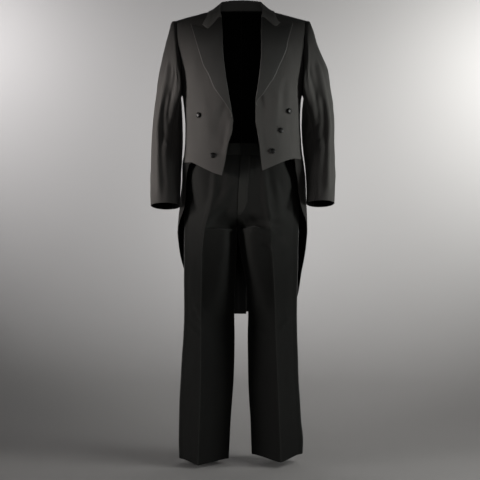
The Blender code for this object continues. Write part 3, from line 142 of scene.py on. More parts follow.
# %% Front edge, hem, armhole and the seams of the back
# Front edge of the coat: tip, cutaway edge, roll line and neck
EDGE_COLUMNS = ("z_right", "x_right", "z_left", "x_left")
EDGE_ROWS = (
    (-8, 80, -8, 80),
    (-50, 69.5, -50, 69.5),
    (-100, 66.6, -100, 68.5),
    (-168, 63.9, -168, 69),
    (-234, 57, -234, 64.2),
    (-301, 47.3, -301, 55.2),
    (-367, 35, -352, 47),
    (-402, 28, -400, 46.9),
    (-434, 30, -434, 51.6),
    (-484, 44, -484, 59.5),
    (-547, 55.5, -540, 65.5),
    (-586, 65, -570, 70),
)

# Cutaway hem of the fronts, from the tip to the side
HEM_COLUMNS = ("x_right", "z_right", "x_left", "z_left")
HEM_ROWS = (
    (65, -586, 70, -570),
    (88, -579, 92, -560),
    (115, -566, 130, -543),
    (148, -549, 160, -531),
    (167, -539, 180, -526),
)
WAIST_SEAM_BACK_Z = -520.0

# Armhole, an oval seen from the side
ARMHOLE_TOP_Z = -44.8
ARMHOLE_LOW_Z = -301.0
ARMHOLE_FRONT = 60.0
ARMHOLE_BACK = 66.0
SIDE_SEAM_TURN = math.radians(35)  # where the side seam meets the armhole, from its lowest point
SABRE_TURN = math.radians(75)  # where the curved back seam meets it
SIDE_SEAM_WAIST = math.radians(74)
SHOULDER_OPEN = 0.2  # half the gap of the shoulder seam
SHOULDER_OPEN_Z = -250.0  # it sets in here, over the height below
SHOULDER_OPEN_RAMP = 120.0

# Curved back seam, then the pleat line of the tail
SABRE_COLUMNS = ("z", "x")
SABRE_ROWS = (
    (-232, 180),
    (-262, 147),
    (-305, 112),
    (-355, 82),
    (-405, 62),
    (-455, 52),
    (-500, 49),
    (-560, 49),
    (-800, 49),
    (-1080, 47),
)

# Front edge of the skirts, as an angle round the section
SKIRT_COLUMNS = ("z_right", "turn_right", "z_left", "turn_left")
SKIRT_ROWS = (
    (-539, 55.5, -526, 54),
    (-560, 59, -560, 54.5),
    (-580, 61.5, -580, 56),
    (-620, 63, -620, 59),
    (-664, 63, -660, 61.5),
    (-700, 66, -700, 66),
    (-740, 77, -740, 79),
    (-780, 90, -780, 90),
    (-835, 100, -835, 100),
    (-869, 107.3, -869, 106),
    (-904, 115, -904, 111.5),
    (-940, 122.5, -940, 115.2),
    (-1000, 133, -1000, 121.5),
    (-1035, 140, -1030, 129),
    (-1062, 149, -1054, 139),
)
TAIL_HEM = {"right": -1066.0, "left": -1058.0}
VENT_TOP_Z = -535.0
VENT_UNDERLAP = 18.0
VENT_SIDE, VENT_SOFT, VENT_CLEAR = 15.0, 11.0, 0.4  # where the dip ends sideways, and its extra gap
VENT_RAMP = 30.0  # height over which the underlap and its dip set in

# %% Lapels and collar
# Lapels: outer edge from the break to the peak
LAPEL = {
    "right": (
        (33, -384), (50, -352), (80, -309), (92, -291), (112, -243), (127, -217), (136, -188), (152, -135),
        (171, -70),
    ),
    "left": (
        (50, -346), (74, -312), (98, -275), (105, -266), (133, -204), (144, -180), (151, -160), (155, -138),
        (175, -66),
    ),
}
LAPEL_BREAK_Z = {"right": -396.0, "left": -358.0}
LAPEL_NOTCH = {"right": (114.3, -96.0), "left": (117.7, -88.0)}
LAPEL_TOP_Z = -51.0
LAPEL_FOOT = (7, 5)  # its first step out from the break, as x and z
EDGE_SOFT = 15.0  # the unevenness of lapels and collar dies away over this distance
LAPEL_SPRING = 0.4  # how much further its outer edge stands off the chest
TURN_RADIUS = 3.25  # how far the cloth rolls out round the front edge
TURN_ROUND = math.radians(125)
TURN_LEAST = 0.14  # share of that turn at the break

# Collar: fold and outer edge, from the middle of the back (0) over the shoulder (0.5) to the gorge (1)
COLLAR_COLUMNS = ("way", "fold_x", "fold_y", "fold_z", "edge_x", "edge_z")
COLLAR_ROWS = (
    (0.00, 0, 43, 37.5, 0, -7),
    (0.14, 24, 41, 36.5, 32, -9),
    (0.28, 47, 32, 32.5, 66, -13),
    (0.40, 62, 17.5, 27, 93, -17.5),
    (0.50, 69.5, 2, 20.5, 110.5, -15.9),
    (0.62, 71.5, -20, 7, 112.5, -21),
    (0.74, 72, -42, -9, 114, -32),
    (0.86, 71.5, -63, -27, 118, -47),
    (0.95, 70.5, -78, -41, 126, -64),
)
GORGE_Z = -49.5
COLLAR_LOW = {"right": (111.6, -92.0), "left": (114.5, -82.5)}
COLLAR_END = {"right": (130.8, -76.8), "left": (131.5, -68.4)}
COLLAR_FOLD = 2.3  # radius of the fold's outer face
COLLAR_STEP_OFF = 2.7  # from the neckline to the face of the stand

# %% Sleeves
# Sleeves: four lines of each sleeve, from the armhole (0) to the cuff (1)
SLEEVE_COLUMNS = (
    "way", "outer_right", "outer_left", "outer_z", "inner_right", "inner_left", "inner_z",
    "middle_y", "front_y", "front_z", "back_y", "back_z", "twist",
)
SLEEVE_ROWS = (
    (0.04, 237, 235, -46.5, 204.2, 210.2, -304, 0, -64, -176, 70, -176, -14),
    (0.08, 245, 241, -55, 204.6, 210.4, -307, 0, -68, -182, 74, -182, -26),
    (0.14, 257, 257, -90, 204.8, 210.2, -312, 0, -74, -197, 78, -197, -38),
    (0.20, 268, 268, -125, 204.8, 210, -317, 0, -77, -217, 79, -217, -40),
    (0.28, 278, 287, -170, 204.5, 209.5, -326, 0, -78, -246, 77, -246, -38),
    (0.36, 283.6, 303, -213, 203.8, 209, -340, 0, -76, -275, 73, -275, -27),
    (0.45, 289, 308, -268, 202.8, 208.4, -362, -1, -73, -314, 67, -314, -8),
    (0.55, 297.5, 315, -343, 201.6, 208.2, -395, -4, -70, -368, 59, -370, 9),
    (0.65, 304, 317, -420, 201, 209.6, -445, -10, -71, -431, 50, -434, 17),
    (0.75, 306.6, 317, -497, 203, 214.5, -508, -20, -77, -499, 38, -506, 18),
    (0.85, 308.5, 317, -570, 206.3, 219.6, -573, -35, -86, -566, 18, -576, 15),
    (0.93, 308.6, 316.5, -630, 207, 221.5, -630, -50, -96, -622, -5, -639, 13),
    (1.00, 306, 314, -687, 206.5, 220, -683, -66, -105, -675, -28, -696, 12),
)
LEFT_CUFF_RISE = 8.0
ARMHOLE_GAP = 0.6

# %% Trousers
# Trousers: outlines and creases of each leg
TROUSER_COLUMNS = (
    "z", "out_right", "out_left", "in_right", "in_left", "crease_right", "crease_left",
    "front", "belly", "back", "seat",
)
TROUSER_ROWS = (
    (-470, 160, 161, 14, -13.6, 84, 72, -89, -106, 70, 84),
    (-516, 172, 173, 14, -13.6, 86, 73, -95, -109, 79, 90),
    (-560, 184, 187, 14, -13.6, 88, 75, -101, -111, 92, 99),
    (-620, 190, 196, 14, -13.6, 91, 80, -109, -113, 116, 113),
    (-680, 195, 199, 14, -13.6, 99, 88, -114, -112, 133.4, 120),
    (-720, 197, 199, 14, -13.6, 109, 93, -116, -110, 137.4, 118),
    (-763, 197, 198, 14.2, -13.5, 121, 96, -117, -108, 131, 114),
    (-810, 197, 196, 15.2, -8.5, 127, 98, -115, -108, 123, 114),
    (-870, 197, 195, 17.3, 0.5, 131, 105.5, -111, -108, 112, 114),
    (-938, 197.3, 193.3, 20.7, 13.8, 133.4, 109.5, -106, -108, 101, 114),
    (-1052, 196.7, 191.1, 23.8, 22.8, 135.3, 113.5, -99, -108, 87, 114),
    (-1130, 199.5, 192.3, 22.6, 21.2, 135.6, 116, -95, -108, 80, 114),
    (-1200, 204.5, 194.8, 23.2, 21.9, 136.4, 119, -92, -108, 75, 114),
    (-1280, 209, 197, 25.8, 23, 137.6, 122.4, -89, -108, 71, 114),
    (-1352, 212.9, 201.8, 31, 26, 139, 125.5, -87, -108, 69, 114),
    (-1420, 214.6, 205.6, 36, 30.7, 141.2, 128.4, -86, -108, 68, 114),
    (-1490, 215.6, 212.6, 39.6, 33, 143.4, 131, -85, -108, 67, 114),
    (-1548, 214, 210, 42.5, 35, 145.2, 132.6, -85, -108, 66, 114),
)
CENTRE_COLUMNS = ("z", "x")  # the middle seam drifts to the wearer's right on its way down
CENTRE_ROWS = ((-470, 0), (-520, -2), (-583, -7), (-683, -12.5), (-763, -13.8))
WAIST_TOP_Z = -476.0
WAISTBAND_DEPTH = 40.0
CROTCH_Z = -763.0
CROTCH_Y = 15.0
FORK_FRONT = 64.0  # height of the front curve of the crotch seam
FORK_BACK = 92.0
HEM_SIDE = {"right": -1552.0, "left": -1537.0}
HEM_DIP = {"right": 6.0, "left": 11.0}  # the hem is longer at the pressed creases
CREASE_RISE = 3.6
CREASE_SOFT = 9.0
CREASE_START_Z = -560.0
CREASE_FULL_Z = -900.0
FRONT_FLAT, BACK_FLAT = 0.85, 0.5  # how flat the pressed halves of a leg are; 1 is a plane
SIDE_SOFT, INSEAM_SOFT = 0.22, 0.1  # share of a half, from its seam, that stays round
THIGH_FULL = 6.0  # power that makes the inner thigh full near the crotch; 1 leaves it flat
THIGH_LOW_Z = -1100.0
OUTSEAM_Y = 4.0
BRAID_WIDTH = 19.0
FLY_WIDTH = 32.0
FLY_LOW_Z = -716.0
WAISTBAND_LIFT = 0.5

# %% Buttons and the back neckline
# Buttons: where each one is fastened, as x and z
BUTTON_ACROSS = 18.5
BUTTON_HEIGHT = 5.4
FRONT_BUTTONS = {
    "front_button_right_top": ("right", 143.7, -381.3),
    "front_button_right_low": ("right", 94.9, -519.0),
    "front_button_left_top": ("left", 159.6, -366.7),
    "front_button_left_mid": ("left", 131.7, -433.7),
    "front_button_left_low": ("left", 103.8, -504.4),
}
NECK_COLUMNS = ("x", "z")  # back neckline, from the middle to the shoulder seam
NECK_ROWS = ((0, 0.0), (30, -2.5), (55, -5.5), (70, -7.5), (80, -8.0))
BACK_BUTTON_X = 49.0
BACK_BUTTON_Z = -508.0

# %% [markdown]
# ## Smooth curves from short tables
#
# A cutter draws a curve through a few marks without letting it swing past them. A spline could overshoot
# between two marks, so a monotone cubic is used: it never goes beyond its neighbours.

# %% Curves
def monotone(xs, ys, at):
    """A smooth curve through the points that never overshoots them, straight past its ends."""
    xs, ys, at = (np.asarray(a, float) for a in (xs, ys, at))
    order = np.argsort(xs)
    xs, ys = xs[order], ys[order]
    step = np.diff(xs)
    slope = np.diff(ys) / step
    lean = np.zeros(len(xs))
    same = slope[:-1] * slope[1:] > 0
    total = np.where(same, slope[:-1] + slope[1:], 1.0)
    lean[1:-1] = np.where(same, 2 * slope[:-1] * slope[1:] / total, 0.0)
    lean[0], lean[-1] = slope[0], slope[-1]
    i = np.clip(np.searchsorted(xs, at) - 1, 0, len(xs) - 2)
    t = (at - xs[i]) / step[i]
    c = np.clip(t, 0, 1)
    curve = (
        (2 * c**3 - 3 * c**2 + 1) * ys[i]
        + (c**3 - 2 * c**2 + c) * step[i] * lean[i]
        + (3 * c**2 - 2 * c**3) * ys[i + 1]
        + (c**3 - c**2) * step[i] * lean[i + 1]
    )
    past = np.where(t > 1, (t - 1) * step[i] * lean[i + 1], np.where(t < 0, t * step[i] * lean[i], 0.0))
    return curve + past


class Table:
    """Rows of numbers with named columns, read as smooth curves."""

    def __init__(self, columns, rows):
        self.column = {name: np.array([row[k] for row in rows], float) for k, name in enumerate(columns)}

    def read(self, name, along, at):
        return monotone(self.column[along], self.column[name], at)


COAT = Table(COAT_COLUMNS, COAT_ROWS)
EDGE = Table(EDGE_COLUMNS, EDGE_ROWS)
NECK = Table(NECK_COLUMNS, NECK_ROWS)
COLLAR = Table(COLLAR_COLUMNS, COLLAR_ROWS)
FRONT_HEM = Table(HEM_COLUMNS, HEM_ROWS)
SABRE = Table(SABRE_COLUMNS, SABRE_ROWS)
SKIRT = Table(SKIRT_COLUMNS, SKIRT_ROWS)
SLEEVE = Table(SLEEVE_COLUMNS, SLEEVE_ROWS)
TROUSER = Table(TROUSER_COLUMNS, TROUSER_ROWS)
CENTRE = Table(CENTRE_COLUMNS, CENTRE_ROWS)


def ease(t):
    t = np.clip(t, 0, 1)
    return t * t * (3 - 2 * t)


def power(base, exponent):
    return np.sign(base) * np.abs(base) ** exponent


def stack(*columns):
    return np.stack(np.broadcast_arrays(*columns), axis=-1)


def unit(vectors):
    return vectors / np.maximum(np.linalg.norm(vectors, axis=-1, keepdims=True), 1e-9)


def reach_of(path):
    """Length of a path from its start to each of its points."""
    return np.concatenate([[0], np.cumsum(np.linalg.norm(np.diff(path, axis=0), axis=1))])


def polyline(points, at, values=None):
    """Points, or values that go with them, at shares 0 to 1 of a polyline's length."""
    points = np.asarray(points, float)
    values = points if values is None else values
    reach = reach_of(points)
    at = np.asarray(at, float) * reach[-1]
    return stack(*(np.interp(at, reach, column) for column in values.T))


def smooth_line(points, at):
    """Points at shares 0 to 1 of a line's length, curved softly through the line's own points."""
    points = np.asarray(points, float)
    reach = reach_of(points)
    at = np.asarray(at, float) * reach[-1]
    return stack(*(monotone(reach, column, at) for column in points.T))


def patch(low, high, first, last):
    """Points filled in between four border curves that share their corners (a Coons patch).

    low and high run across, as arrays of n points; first and last run up, as arrays of m points.
    """
    n, m = len(low), len(first)
    u = np.linspace(0, 1, n)[None, :, None]
    v = np.linspace(0, 1, m)[:, None, None]
    # Shares follow the borders' own spacing, so rows that crowd at an edge stay crowded inside.
    across = (1 - v) * low[None] + v * high[None]
    upward = (1 - u) * first[:, None] + u * last[:, None]
    corners = (1 - v) * ((1 - u) * low[0] + u * low[-1]) + v * ((1 - u) * high[0] + u * high[-1])
    return across + upward - corners


# %% [markdown]
# ## The form of the coat
#
# The chest of a pressed coat is a round-cornered tube that rolls over into the shoulder line. It could be
# a lathe shape or a loft of drawn sections. One formula serves here: a section between an ellipse and a
# box at each height, rounded off above the chest, read by its angle round the body and its level. A front,
# a side and a back all ask the same formula, so they meet at their seams without fitting.

# %% Coat form
def shoulder_line(x):
    x = np.abs(x)
    inside = SHOULDER_NECK_Z + NECK_SLOPE * (SHOULDER_NECK_X - x)
    outside = SHOULDER_NECK_Z - SHOULDER_SLOPE * (x - SHOULDER_NECK_X)
    return np.where(x < SHOULDER_NECK_X, inside, outside)


def half_width(side, z):
    return COAT.read("half_" + side, "z", z)


def turn_of(side, x, z):
    """The angle round the front half of the section at which its x is reached."""
    share = np.clip(np.asarray(x, float) / half_width(side, z), -1, 1)
    return np.arcsin(power(share, SECTION_POWER / 2))


def low_level(z, behind):
    """Height as a level, below the rounding."""
    return (np.asarray(z, float) - ROUNDING[behind][0]) / LEVEL_STEP


def level_of(x, z, behind):
    """Height as a level: 0 where the rounding starts, 1 on the shoulder line."""
    start, exponent = ROUNDING[behind]
    share = np.clip((z - start) / (shoulder_line(x) - start), 0, 1)
    above = np.arcsin(share ** (exponent / 2)) * 2 / math.pi
    return np.where(z <= start, low_level(z, behind), above)


def coat_form(side, turn, level, behind, depth_name="front"):
    """Points of the coat's outer face. turn 0 is the front middle, a quarter turn the side."""
    start, exponent = ROUNDING[behind]
    turn, level = np.broadcast_arrays(np.asarray(turn, float), np.asarray(level, float))
    angle = np.maximum(level, 0) * math.pi / 2
    rise = power(np.sin(angle), 2 / exponent)
    round_off = np.where(level > 0, power(np.cos(angle), 2 / exponent), 1.0)
    z = np.full(turn.shape, start, float)
    for _ in range(12):
        x = half_width(side, z) * power(np.sin(turn), 2 / SECTION_POWER)
        z = np.where(level > 0, start + (shoulder_line(x) - start) * rise, start + level * LEVEL_STEP)
    ahead = np.cos(turn) > 0
    depth = np.where(ahead, COAT.read(depth_name, "z", z), COAT.read("back", "z", z))
    y = -depth * power(np.cos(turn), 2 / SECTION_POWER) * round_off
    if behind:
        y = np.where(ahead, y, np.abs(y) * np.sign(round_off))
    opening = SHOULDER_OPEN * ease((z - SHOULDER_OPEN_Z) / SHOULDER_OPEN_RAMP)
    y = y + np.where(behind, opening, -opening)
    return stack(x, y, z)


def face(point_of, a, b, da=0.004, db=0.01):
    """Points and outward normals of a form at two coordinates."""
    along = point_of(a + da, b) - point_of(a - da, b)
    up = point_of(a, b + db) - point_of(a, b - db)
    return point_of(a, b), unit(np.cross(along, up))


def armhole(side, turn, behind):
    """Points of the armhole. turn 0 is its lowest point and half a turn its highest."""
    turn = np.atleast_1d(np.asarray(turn, float))
    middle = (ARMHOLE_TOP_Z + ARMHOLE_LOW_Z) / 2
    z = middle - (ARMHOLE_TOP_Z - ARMHOLE_LOW_Z) / 2 * np.cos(turn)
    y = (ARMHOLE_BACK if behind else ARMHOLE_FRONT) * np.sin(turn)
    start, exponent = ROUNDING[behind]
    depth = COAT.read("back" if behind else "front", "z", z)
    w = half_width(side, z)
    low, high = np.zeros_like(z), w.copy()
    on_line = SHOULDER_NECK_X + (SHOULDER_NECK_Z - z) / SHOULDER_SLOPE
    high = np.minimum(high, on_line)
    for _ in range(40):
        x = (low + high) / 2
        section = np.maximum(1 - (x / w) ** SECTION_POWER, 0) ** (1 / SECTION_POWER)
        share = np.clip((z - start) / (shoulder_line(x) - start), 0, 1)
        reach = depth * section * np.maximum(1 - share**exponent, 0) ** (1 / exponent)
        inside = reach > y
        low, high = np.where(inside, x, low), np.where(inside, high, x)
    return stack(x, y if behind else -y, z)


def to_form(side, x, z, behind):
    """Turn and level of points given by x and z."""
    turn = turn_of(side, x, z)
    if behind:
        turn = math.pi - turn
    return stack(turn, level_of(x, z, behind))


def edge_x(side, z):
    return EDGE.read("x_" + side, "z_" + side, z)


def skirt_turn(side, z):
    return np.radians(SKIRT.read("turn_" + side, "z_" + side, z))


def tip_z(side):
    return float(EDGE.column["z_" + side].min())


def hem_corner(side):
    """The side end of the cutaway hem, where the skirt starts, as x and z."""
    return float(FRONT_HEM.column["x_" + side][-1]), float(FRONT_HEM.column["z_" + side][-1])


def waist_seam_z(side, turn):
    """Height of the waist seam from the skirt's front edge round to the pleat."""
    x, z = hem_corner(side)
    start = turn_of(side, x, z)
    return z + (WAIST_SEAM_BACK_Z - z) * ease((turn - start) / (math.pi - 0.3 - start))


SIDE_SEAM_BOW = 0.03  # in radians round the body


def side_seam(side, share):
    """Turn and level of the side seam, from the waist (0) to the armhole (1)."""
    top = armhole(side, SIDE_SEAM_TURN, False)[0]
    end = to_form(side, top[0], top[2], False)
    low_z = waist_seam_z(side, SIDE_SEAM_WAIST)
    start = np.array([SIDE_SEAM_WAIST, float(low_level(low_z, False))])
    share = np.asarray(share, float)[:, None]
    bow = np.stack([SIDE_SEAM_BOW * np.sin(math.pi * share[:, 0]), 0 * share[:, 0]], axis=1)
    return start + (end - start) * share + bow


def sabre_seam(side, share):
    """Turn and level of the curved back seam, from the waist (0) to the armhole (1)."""
    top = armhole(side, SABRE_TURN, True)[0]
    z = WAIST_SEAM_BACK_Z + (top[2] - WAIST_SEAM_BACK_Z) * np.asarray(share, float)
    xs = np.append(SABRE.column["x"], top[0])
    zs = np.append(SABRE.column["z"], top[2])
    return to_form(side, monotone(zs, xs, z), z, True)


def side_form(side, depth_name="front"):
    """The form as turn and height, for panels that lie wholly below the rounding."""

    def point(turn, z):
        turn, z = np.broadcast_arrays(turn, z)
        ahead = coat_form(side, turn, low_level(z, False), False, depth_name)
        hind = coat_form(side, turn, low_level(z, True), True, depth_name)
        return np.where((turn < math.pi / 2)[..., None], ahead, hind)

    return point


def skirt_form(side):
    return side_form(side, "skirt_front")


def front_form(side):
    return lambda turn, level: coat_form(side, turn, level, False)


def back_form(side):
    return lambda turn, level: coat_form(side, turn, level, True)


# %% [markdown]
# ## Cutting the panels
#
# A panel is cut to its seams: its four borders are curves on the form, and a Coons patch fills the cloth in
# between. The number of cells is what decides how fine a crease the cloth can hold, so it is set here, at
# about five millimetres a cell.

# %% Cells and panels of the coat
FINE = 5
HEM_CELLS = 6 * FINE
SEAM_CELLS = 3 * FINE
SIDE_CELLS = 5 * FINE
WAIST_CELLS = 10 * FINE
CHEST_CELLS = 9 * FINE
BLADE_CELLS = 8 * FINE
TAIL_CELLS = 20 * FINE
NECK_CELLS = 3 * FINE
BACK_CELLS = 6 * FINE


def front_grid(side):
    """Turn and level over one front, with the row that both patches share counted once."""
    columns = HEM_CELLS + SEAM_CELLS
    u = np.linspace(0, 1, columns + 1)
    junction = side_seam(side, [1.0])[0]
    junction_z = FRONT_ROUND_Z + junction[1] * LEVEL_STEP
    tip = tip_z(side)
    corner_x, corner_z = hem_corner(side)
    # The hem: the cutaway edge, then the waist seam as far as the side seam.
    hem_x = np.linspace(*FRONT_HEM.column["x_" + side][[0, -1]], 60)
    cut = stack(hem_x, FRONT_HEM.read("z_" + side, "x_" + side, hem_x))
    cut = polyline(cut, np.linspace(0, 1, HEM_CELLS + 1))
    turns = np.linspace(float(turn_of(side, corner_x, corner_z)), SIDE_SEAM_WAIST, SEAM_CELLS + 1)
    low = np.concatenate([
        to_form(side, cut[:, 0], cut[:, 1], False),
        stack(turns, low_level(waist_seam_z(side, turns), False))[1:],
    ])
    v = np.linspace(0, 1, WAIST_CELLS + 1)
    edge_z = tip + (junction_z - tip) * v
    first = to_form(side, edge_x(side, edge_z), edge_z, False)
    last = side_seam(side, v)
    last[0] = low[-1]
    high = first[-1] + (last[-1] - first[-1]) * u[:, None]
    lower = patch(low, high, first, last)
    # The upper patch runs to the shoulder seam.
    w = np.linspace(0, 1, CHEST_CELLS + 1)
    arm = armhole(side, SIDE_SEAM_TURN + (math.pi - SIDE_SEAM_TURN) * w, False)
    last = to_form(side, arm[:, 0], arm[:, 2], False)
    last[-1, 1] = 1.0
    levels = junction[1] + (1 - junction[1]) * w
    edge = []
    for level in levels:
        z = FRONT_ROUND_Z + min(level, 0) * LEVEL_STEP
        for _ in range(12):
            x = float(edge_x(side, z))
            if level > 0:
                z = FRONT_ROUND_Z + (float(shoulder_line(x)) - FRONT_ROUND_Z) * math.sin(level * math.pi / 2)
        edge.append((float(turn_of(side, x, z)), level))
    first = np.array(edge)
    low2 = lower[-1]
    high2 = stack(np.linspace(first[-1, 0], last[-1, 0], columns + 1), np.ones(columns + 1))
    upper = patch(low2, high2, first, last)
    return np.concatenate([lower, upper[1:]])


def side_grid(side):
    columns = SIDE_CELLS
    v = np.linspace(0, 1, WAIST_CELLS + 1)
    first = side_seam(side, v)
    last = sabre_seam(side, v)
    turns = np.linspace(first[0, 0], last[0, 0], columns + 1)
    low = stack(turns, low_level(waist_seam_z(side, turns), False))
    first[:, 1] = first[:, 1] * LEVEL_STEP + FRONT_ROUND_Z
    last[:, 1] = last[:, 1] * LEVEL_STEP + BACK_ROUND_Z
    low[:, 1] = low[:, 1] * LEVEL_STEP + FRONT_ROUND_Z
    low[0], low[-1] = first[0], last[0]
    sweep = np.linspace(-SIDE_SEAM_TURN, SABRE_TURN, columns + 1)
    ahead = armhole(side, np.abs(sweep), False)
    hind = armhole(side, np.abs(sweep), True)
    high = np.empty((columns + 1, 2))
    for k, s in enumerate(sweep):
        p = hind[k] if s > 0 else ahead[k]
        turn = float(turn_of(side, p[0], p[2]))
        high[k] = (math.pi - turn if s > 0 else turn, p[2])
    high[0], high[-1] = first[-1], last[-1]
    return patch(low, high, first, last)


def neckline(side, cells):
    """Turn and level along the back neckline, from the middle to the shoulder seam."""
    x = np.linspace(0, SHOULDER_NECK_X, cells + 1)
    z = NECK.read("z", "x", x)
    points = to_form(side, x, z, True)
    points[0, 0] = math.pi
    points[-1, 1] = 1.0
    return points


def back_grid(side, columns=BACK_CELLS):
    """Turn and level over one back: the tail strip, the waist and the shoulder."""
    u = np.linspace(0, 1, columns + 1)
    top = armhole(side, SABRE_TURN, True)[0]
    # The tail, from its hem to the waist seam
    z = np.linspace(TAIL_HEM[side], WAIST_SEAM_BACK_Z, TAIL_CELLS + 1)
    outer = to_form(side, SABRE.read("x", "z", z), z, True)
    inner = stack(np.full(len(z), math.pi), low_level(z, True))
    if side == "right":
        lap = VENT_UNDERLAP * ease((VENT_TOP_Z - VENT_RAMP - z) / VENT_RAMP)
        inner[:, 0] = math.pi + turn_of(side, lap, z)
    low = inner[0] + (outer[0] - inner[0]) * u[:, None]
    high = inner[-1] + (outer[-1] - inner[-1]) * u[:, None]
    tail = patch(low, high, inner, outer)
    # The waist, up to where the curved seam meets the armhole
    v = np.linspace(0, 1, WAIST_CELLS + 1)
    outer = sabre_seam(side, v)
    levels = np.linspace(low_level(WAIST_SEAM_BACK_Z, True), low_level(top[2], True), len(v))
    inner = stack(np.full(len(v), math.pi), levels)
    low = high
    high = inner[-1] + (outer[-1] - inner[-1]) * u[:, None]
    waist = patch(low, high, inner, outer)
    # The shoulder, up to the neck and the shoulder seam
    w = np.linspace(0, 1, BLADE_CELLS + 1)
    arm = armhole(side, SABRE_TURN + (math.pi - SABRE_TURN) * w, True)
    outer = to_form(side, arm[:, 0], arm[:, 2], True)
    outer[-1, 1] = 1.0
    neck = neckline(side, NECK_CELLS)
    seam_turns = np.linspace(neck[-1, 0], outer[-1, 0], columns + 1 - NECK_CELLS)
    high2 = np.concatenate([neck, stack(seam_turns, np.ones(len(seam_turns)))[1:]])
    inner = stack(np.full(len(w), math.pi), np.linspace(high[0, 1], neck[0, 1], len(w)))
    shoulder = patch(high, high2, inner, outer)
    return np.concatenate([tail, waist[1:], shoulder[1:]])


def skirt_grid(side):
    """Turn and height over one skirt. Its top row has the stations of the panels above it."""
    columns = SEAM_CELLS + SIDE_CELLS
    u = np.linspace(0, 1, columns + 1)
    hem = TAIL_HEM[side]
    z = np.linspace(hem, WAIST_SEAM_BACK_Z, TAIL_CELLS + 1)
    back = stack(math.pi - turn_of(side, SABRE.read("x", "z", z), z), z)
    corner_x, corner_z = hem_corner(side)
    low_z = float(SKIRT.column["z_" + side].min())
    front_z = np.linspace(low_z, corner_z, TAIL_CELLS + 1)
    front = stack(skirt_turn(side, front_z), front_z)
    front[-1, 0] = turn_of(side, corner_x, corner_z)
    ahead = np.linspace(front[-1, 0], SIDE_SEAM_WAIST, SEAM_CELLS + 1)
    turns = np.concatenate([ahead, np.linspace(SIDE_SEAM_WAIST, back[-1, 0], SIDE_CELLS + 1)[1:]])
    high = stack(turns, waist_seam_z(side, turns))
    high[0], high[-1] = front[-1], back[-1]
    low_turns = np.linspace(front[0, 0], back[0, 0], columns + 1)
    low = stack(low_turns, low_z + (hem - low_z) * ease(u * 2.5))
    low[0], low[-1] = front[0], back[0]
    return patch(low, high, front, back)


# %% [markdown]
# ## The form of the sleeves and the trousers
#
# A sleeve is a bent tube whose first ring is the armhole itself. A trouser leg is a tube of four arcs that
# meet at the inseam, the two pressed creases and the outseam, and above the crotch its inner arcs open out
# into the body.

# %% Sleeve form
SLEEVE_START = 0.14  # share of the sleeve in which the armhole turns into the tube


def ring_of(outer, inner, front, back, turn):
    """A section through four points: outer and inner, and front and back as y and z."""
    middle = (outer + inner) / 2
    front, back = stack(middle[..., 0], *front), stack(middle[..., 0], *back)
    c, s = np.cos(turn)[..., None], np.sin(turn)[..., None]
    swing = np.where(s > 0, (front - middle) * s, (back - middle) * -s)
    return middle + (outer - inner) / 2 * c + swing


def sleeve_form(side):
    """Points by way (0 at the armhole, 1 at the cuff) and turn (0 outside, a quarter in front)."""
    ways = np.concatenate([[0.0], SLEEVE.column["way"]])
    top = armhole(side, math.pi, False)[0]
    low = armhole(side, 0.0, False)[0]
    ahead = armhole(side, math.pi / 2, False)[0]
    hind = armhole(side, math.pi / 2, True)[0]
    start = {
        "outer_" + side: top[0],
        "outer_z": top[2],
        "inner_" + side: low[0],
        "inner_z": low[2],
        "middle_y": 0.0,
        "front_y": ahead[1],
        "front_z": ahead[2],
        "back_y": hind[1],
        "back_z": hind[2],
        "twist": 0.0,
    }

    def read(name, way):
        return monotone(ways, np.concatenate([[start[name]], SLEEVE.column[name]]), way)

    def point(turn, way):
        turn, way = np.broadcast_arrays(np.asarray(turn, float), np.asarray(way, float))
        rise = LEFT_CUFF_RISE * ease((way - 0.5) / 0.5) if side == "left" else 0.0
        outer = stack(read("outer_" + side, way), read("middle_y", way), read("outer_z", way) + rise)
        inner = stack(read("inner_" + side, way), read("middle_y", way), read("inner_z", way) + rise)
        ring = ring_of(
            outer, inner, (read("front_y", way), read("front_z", way) + rise),
            (read("back_y", way), read("back_z", way) + rise), turn,
        )
        # The section is flattened aslant: its width is counted from a turned starting point,
        # so that the front edge lies near the armhole on top and near the outside below.
        twist = np.radians(read("twist", way))
        half_wide = (outer - inner)[..., 0] / 2
        ring[..., 0] += half_wide * (np.cos(turn - twist) - np.cos(turn))
        # The first ring is the armhole itself, and the next few turn into the tube.
        from_low = np.abs(math.pi - np.mod(turn, 2 * math.pi))
        flat = from_low.ravel()
        hole_front = armhole(side, flat, False).reshape(ring.shape)
        hole_back = armhole(side, flat, True).reshape(ring.shape)
        hole = np.where(np.sin(turn)[..., None] > 0, hole_front, hole_back)
        tube_start = ring_of(top * [1, 0, 1], low * [1, 0, 1], ahead[1:], hind[1:], turn)
        fade = (1 - ease(way / SLEEVE_START))[..., None]
        return ring + (hole - tube_start) * fade + np.array([ARMHOLE_GAP, 0.0, 0.0]) * fade

    return point


# %% Trouser form
def centre_x(side, z):
    """The middle seam's x, counted outwards on this side."""
    return SIGN[side] * CENTRE.read("x", "z", np.maximum(z, CROTCH_Z)) + SEAM_GAP / 2


BACK_CREASE_IN = 12.0  # how much further in the back crease lies than the front one
ARC_OPEN, ARC_PRESSED = math.radians(88), math.radians(34)
INSEAM_FADE, INSEAM_DRIFT, INSEAM_AHEAD = 350.0, 700.0, 3.0  # how the inseam leaves the crotch's depth


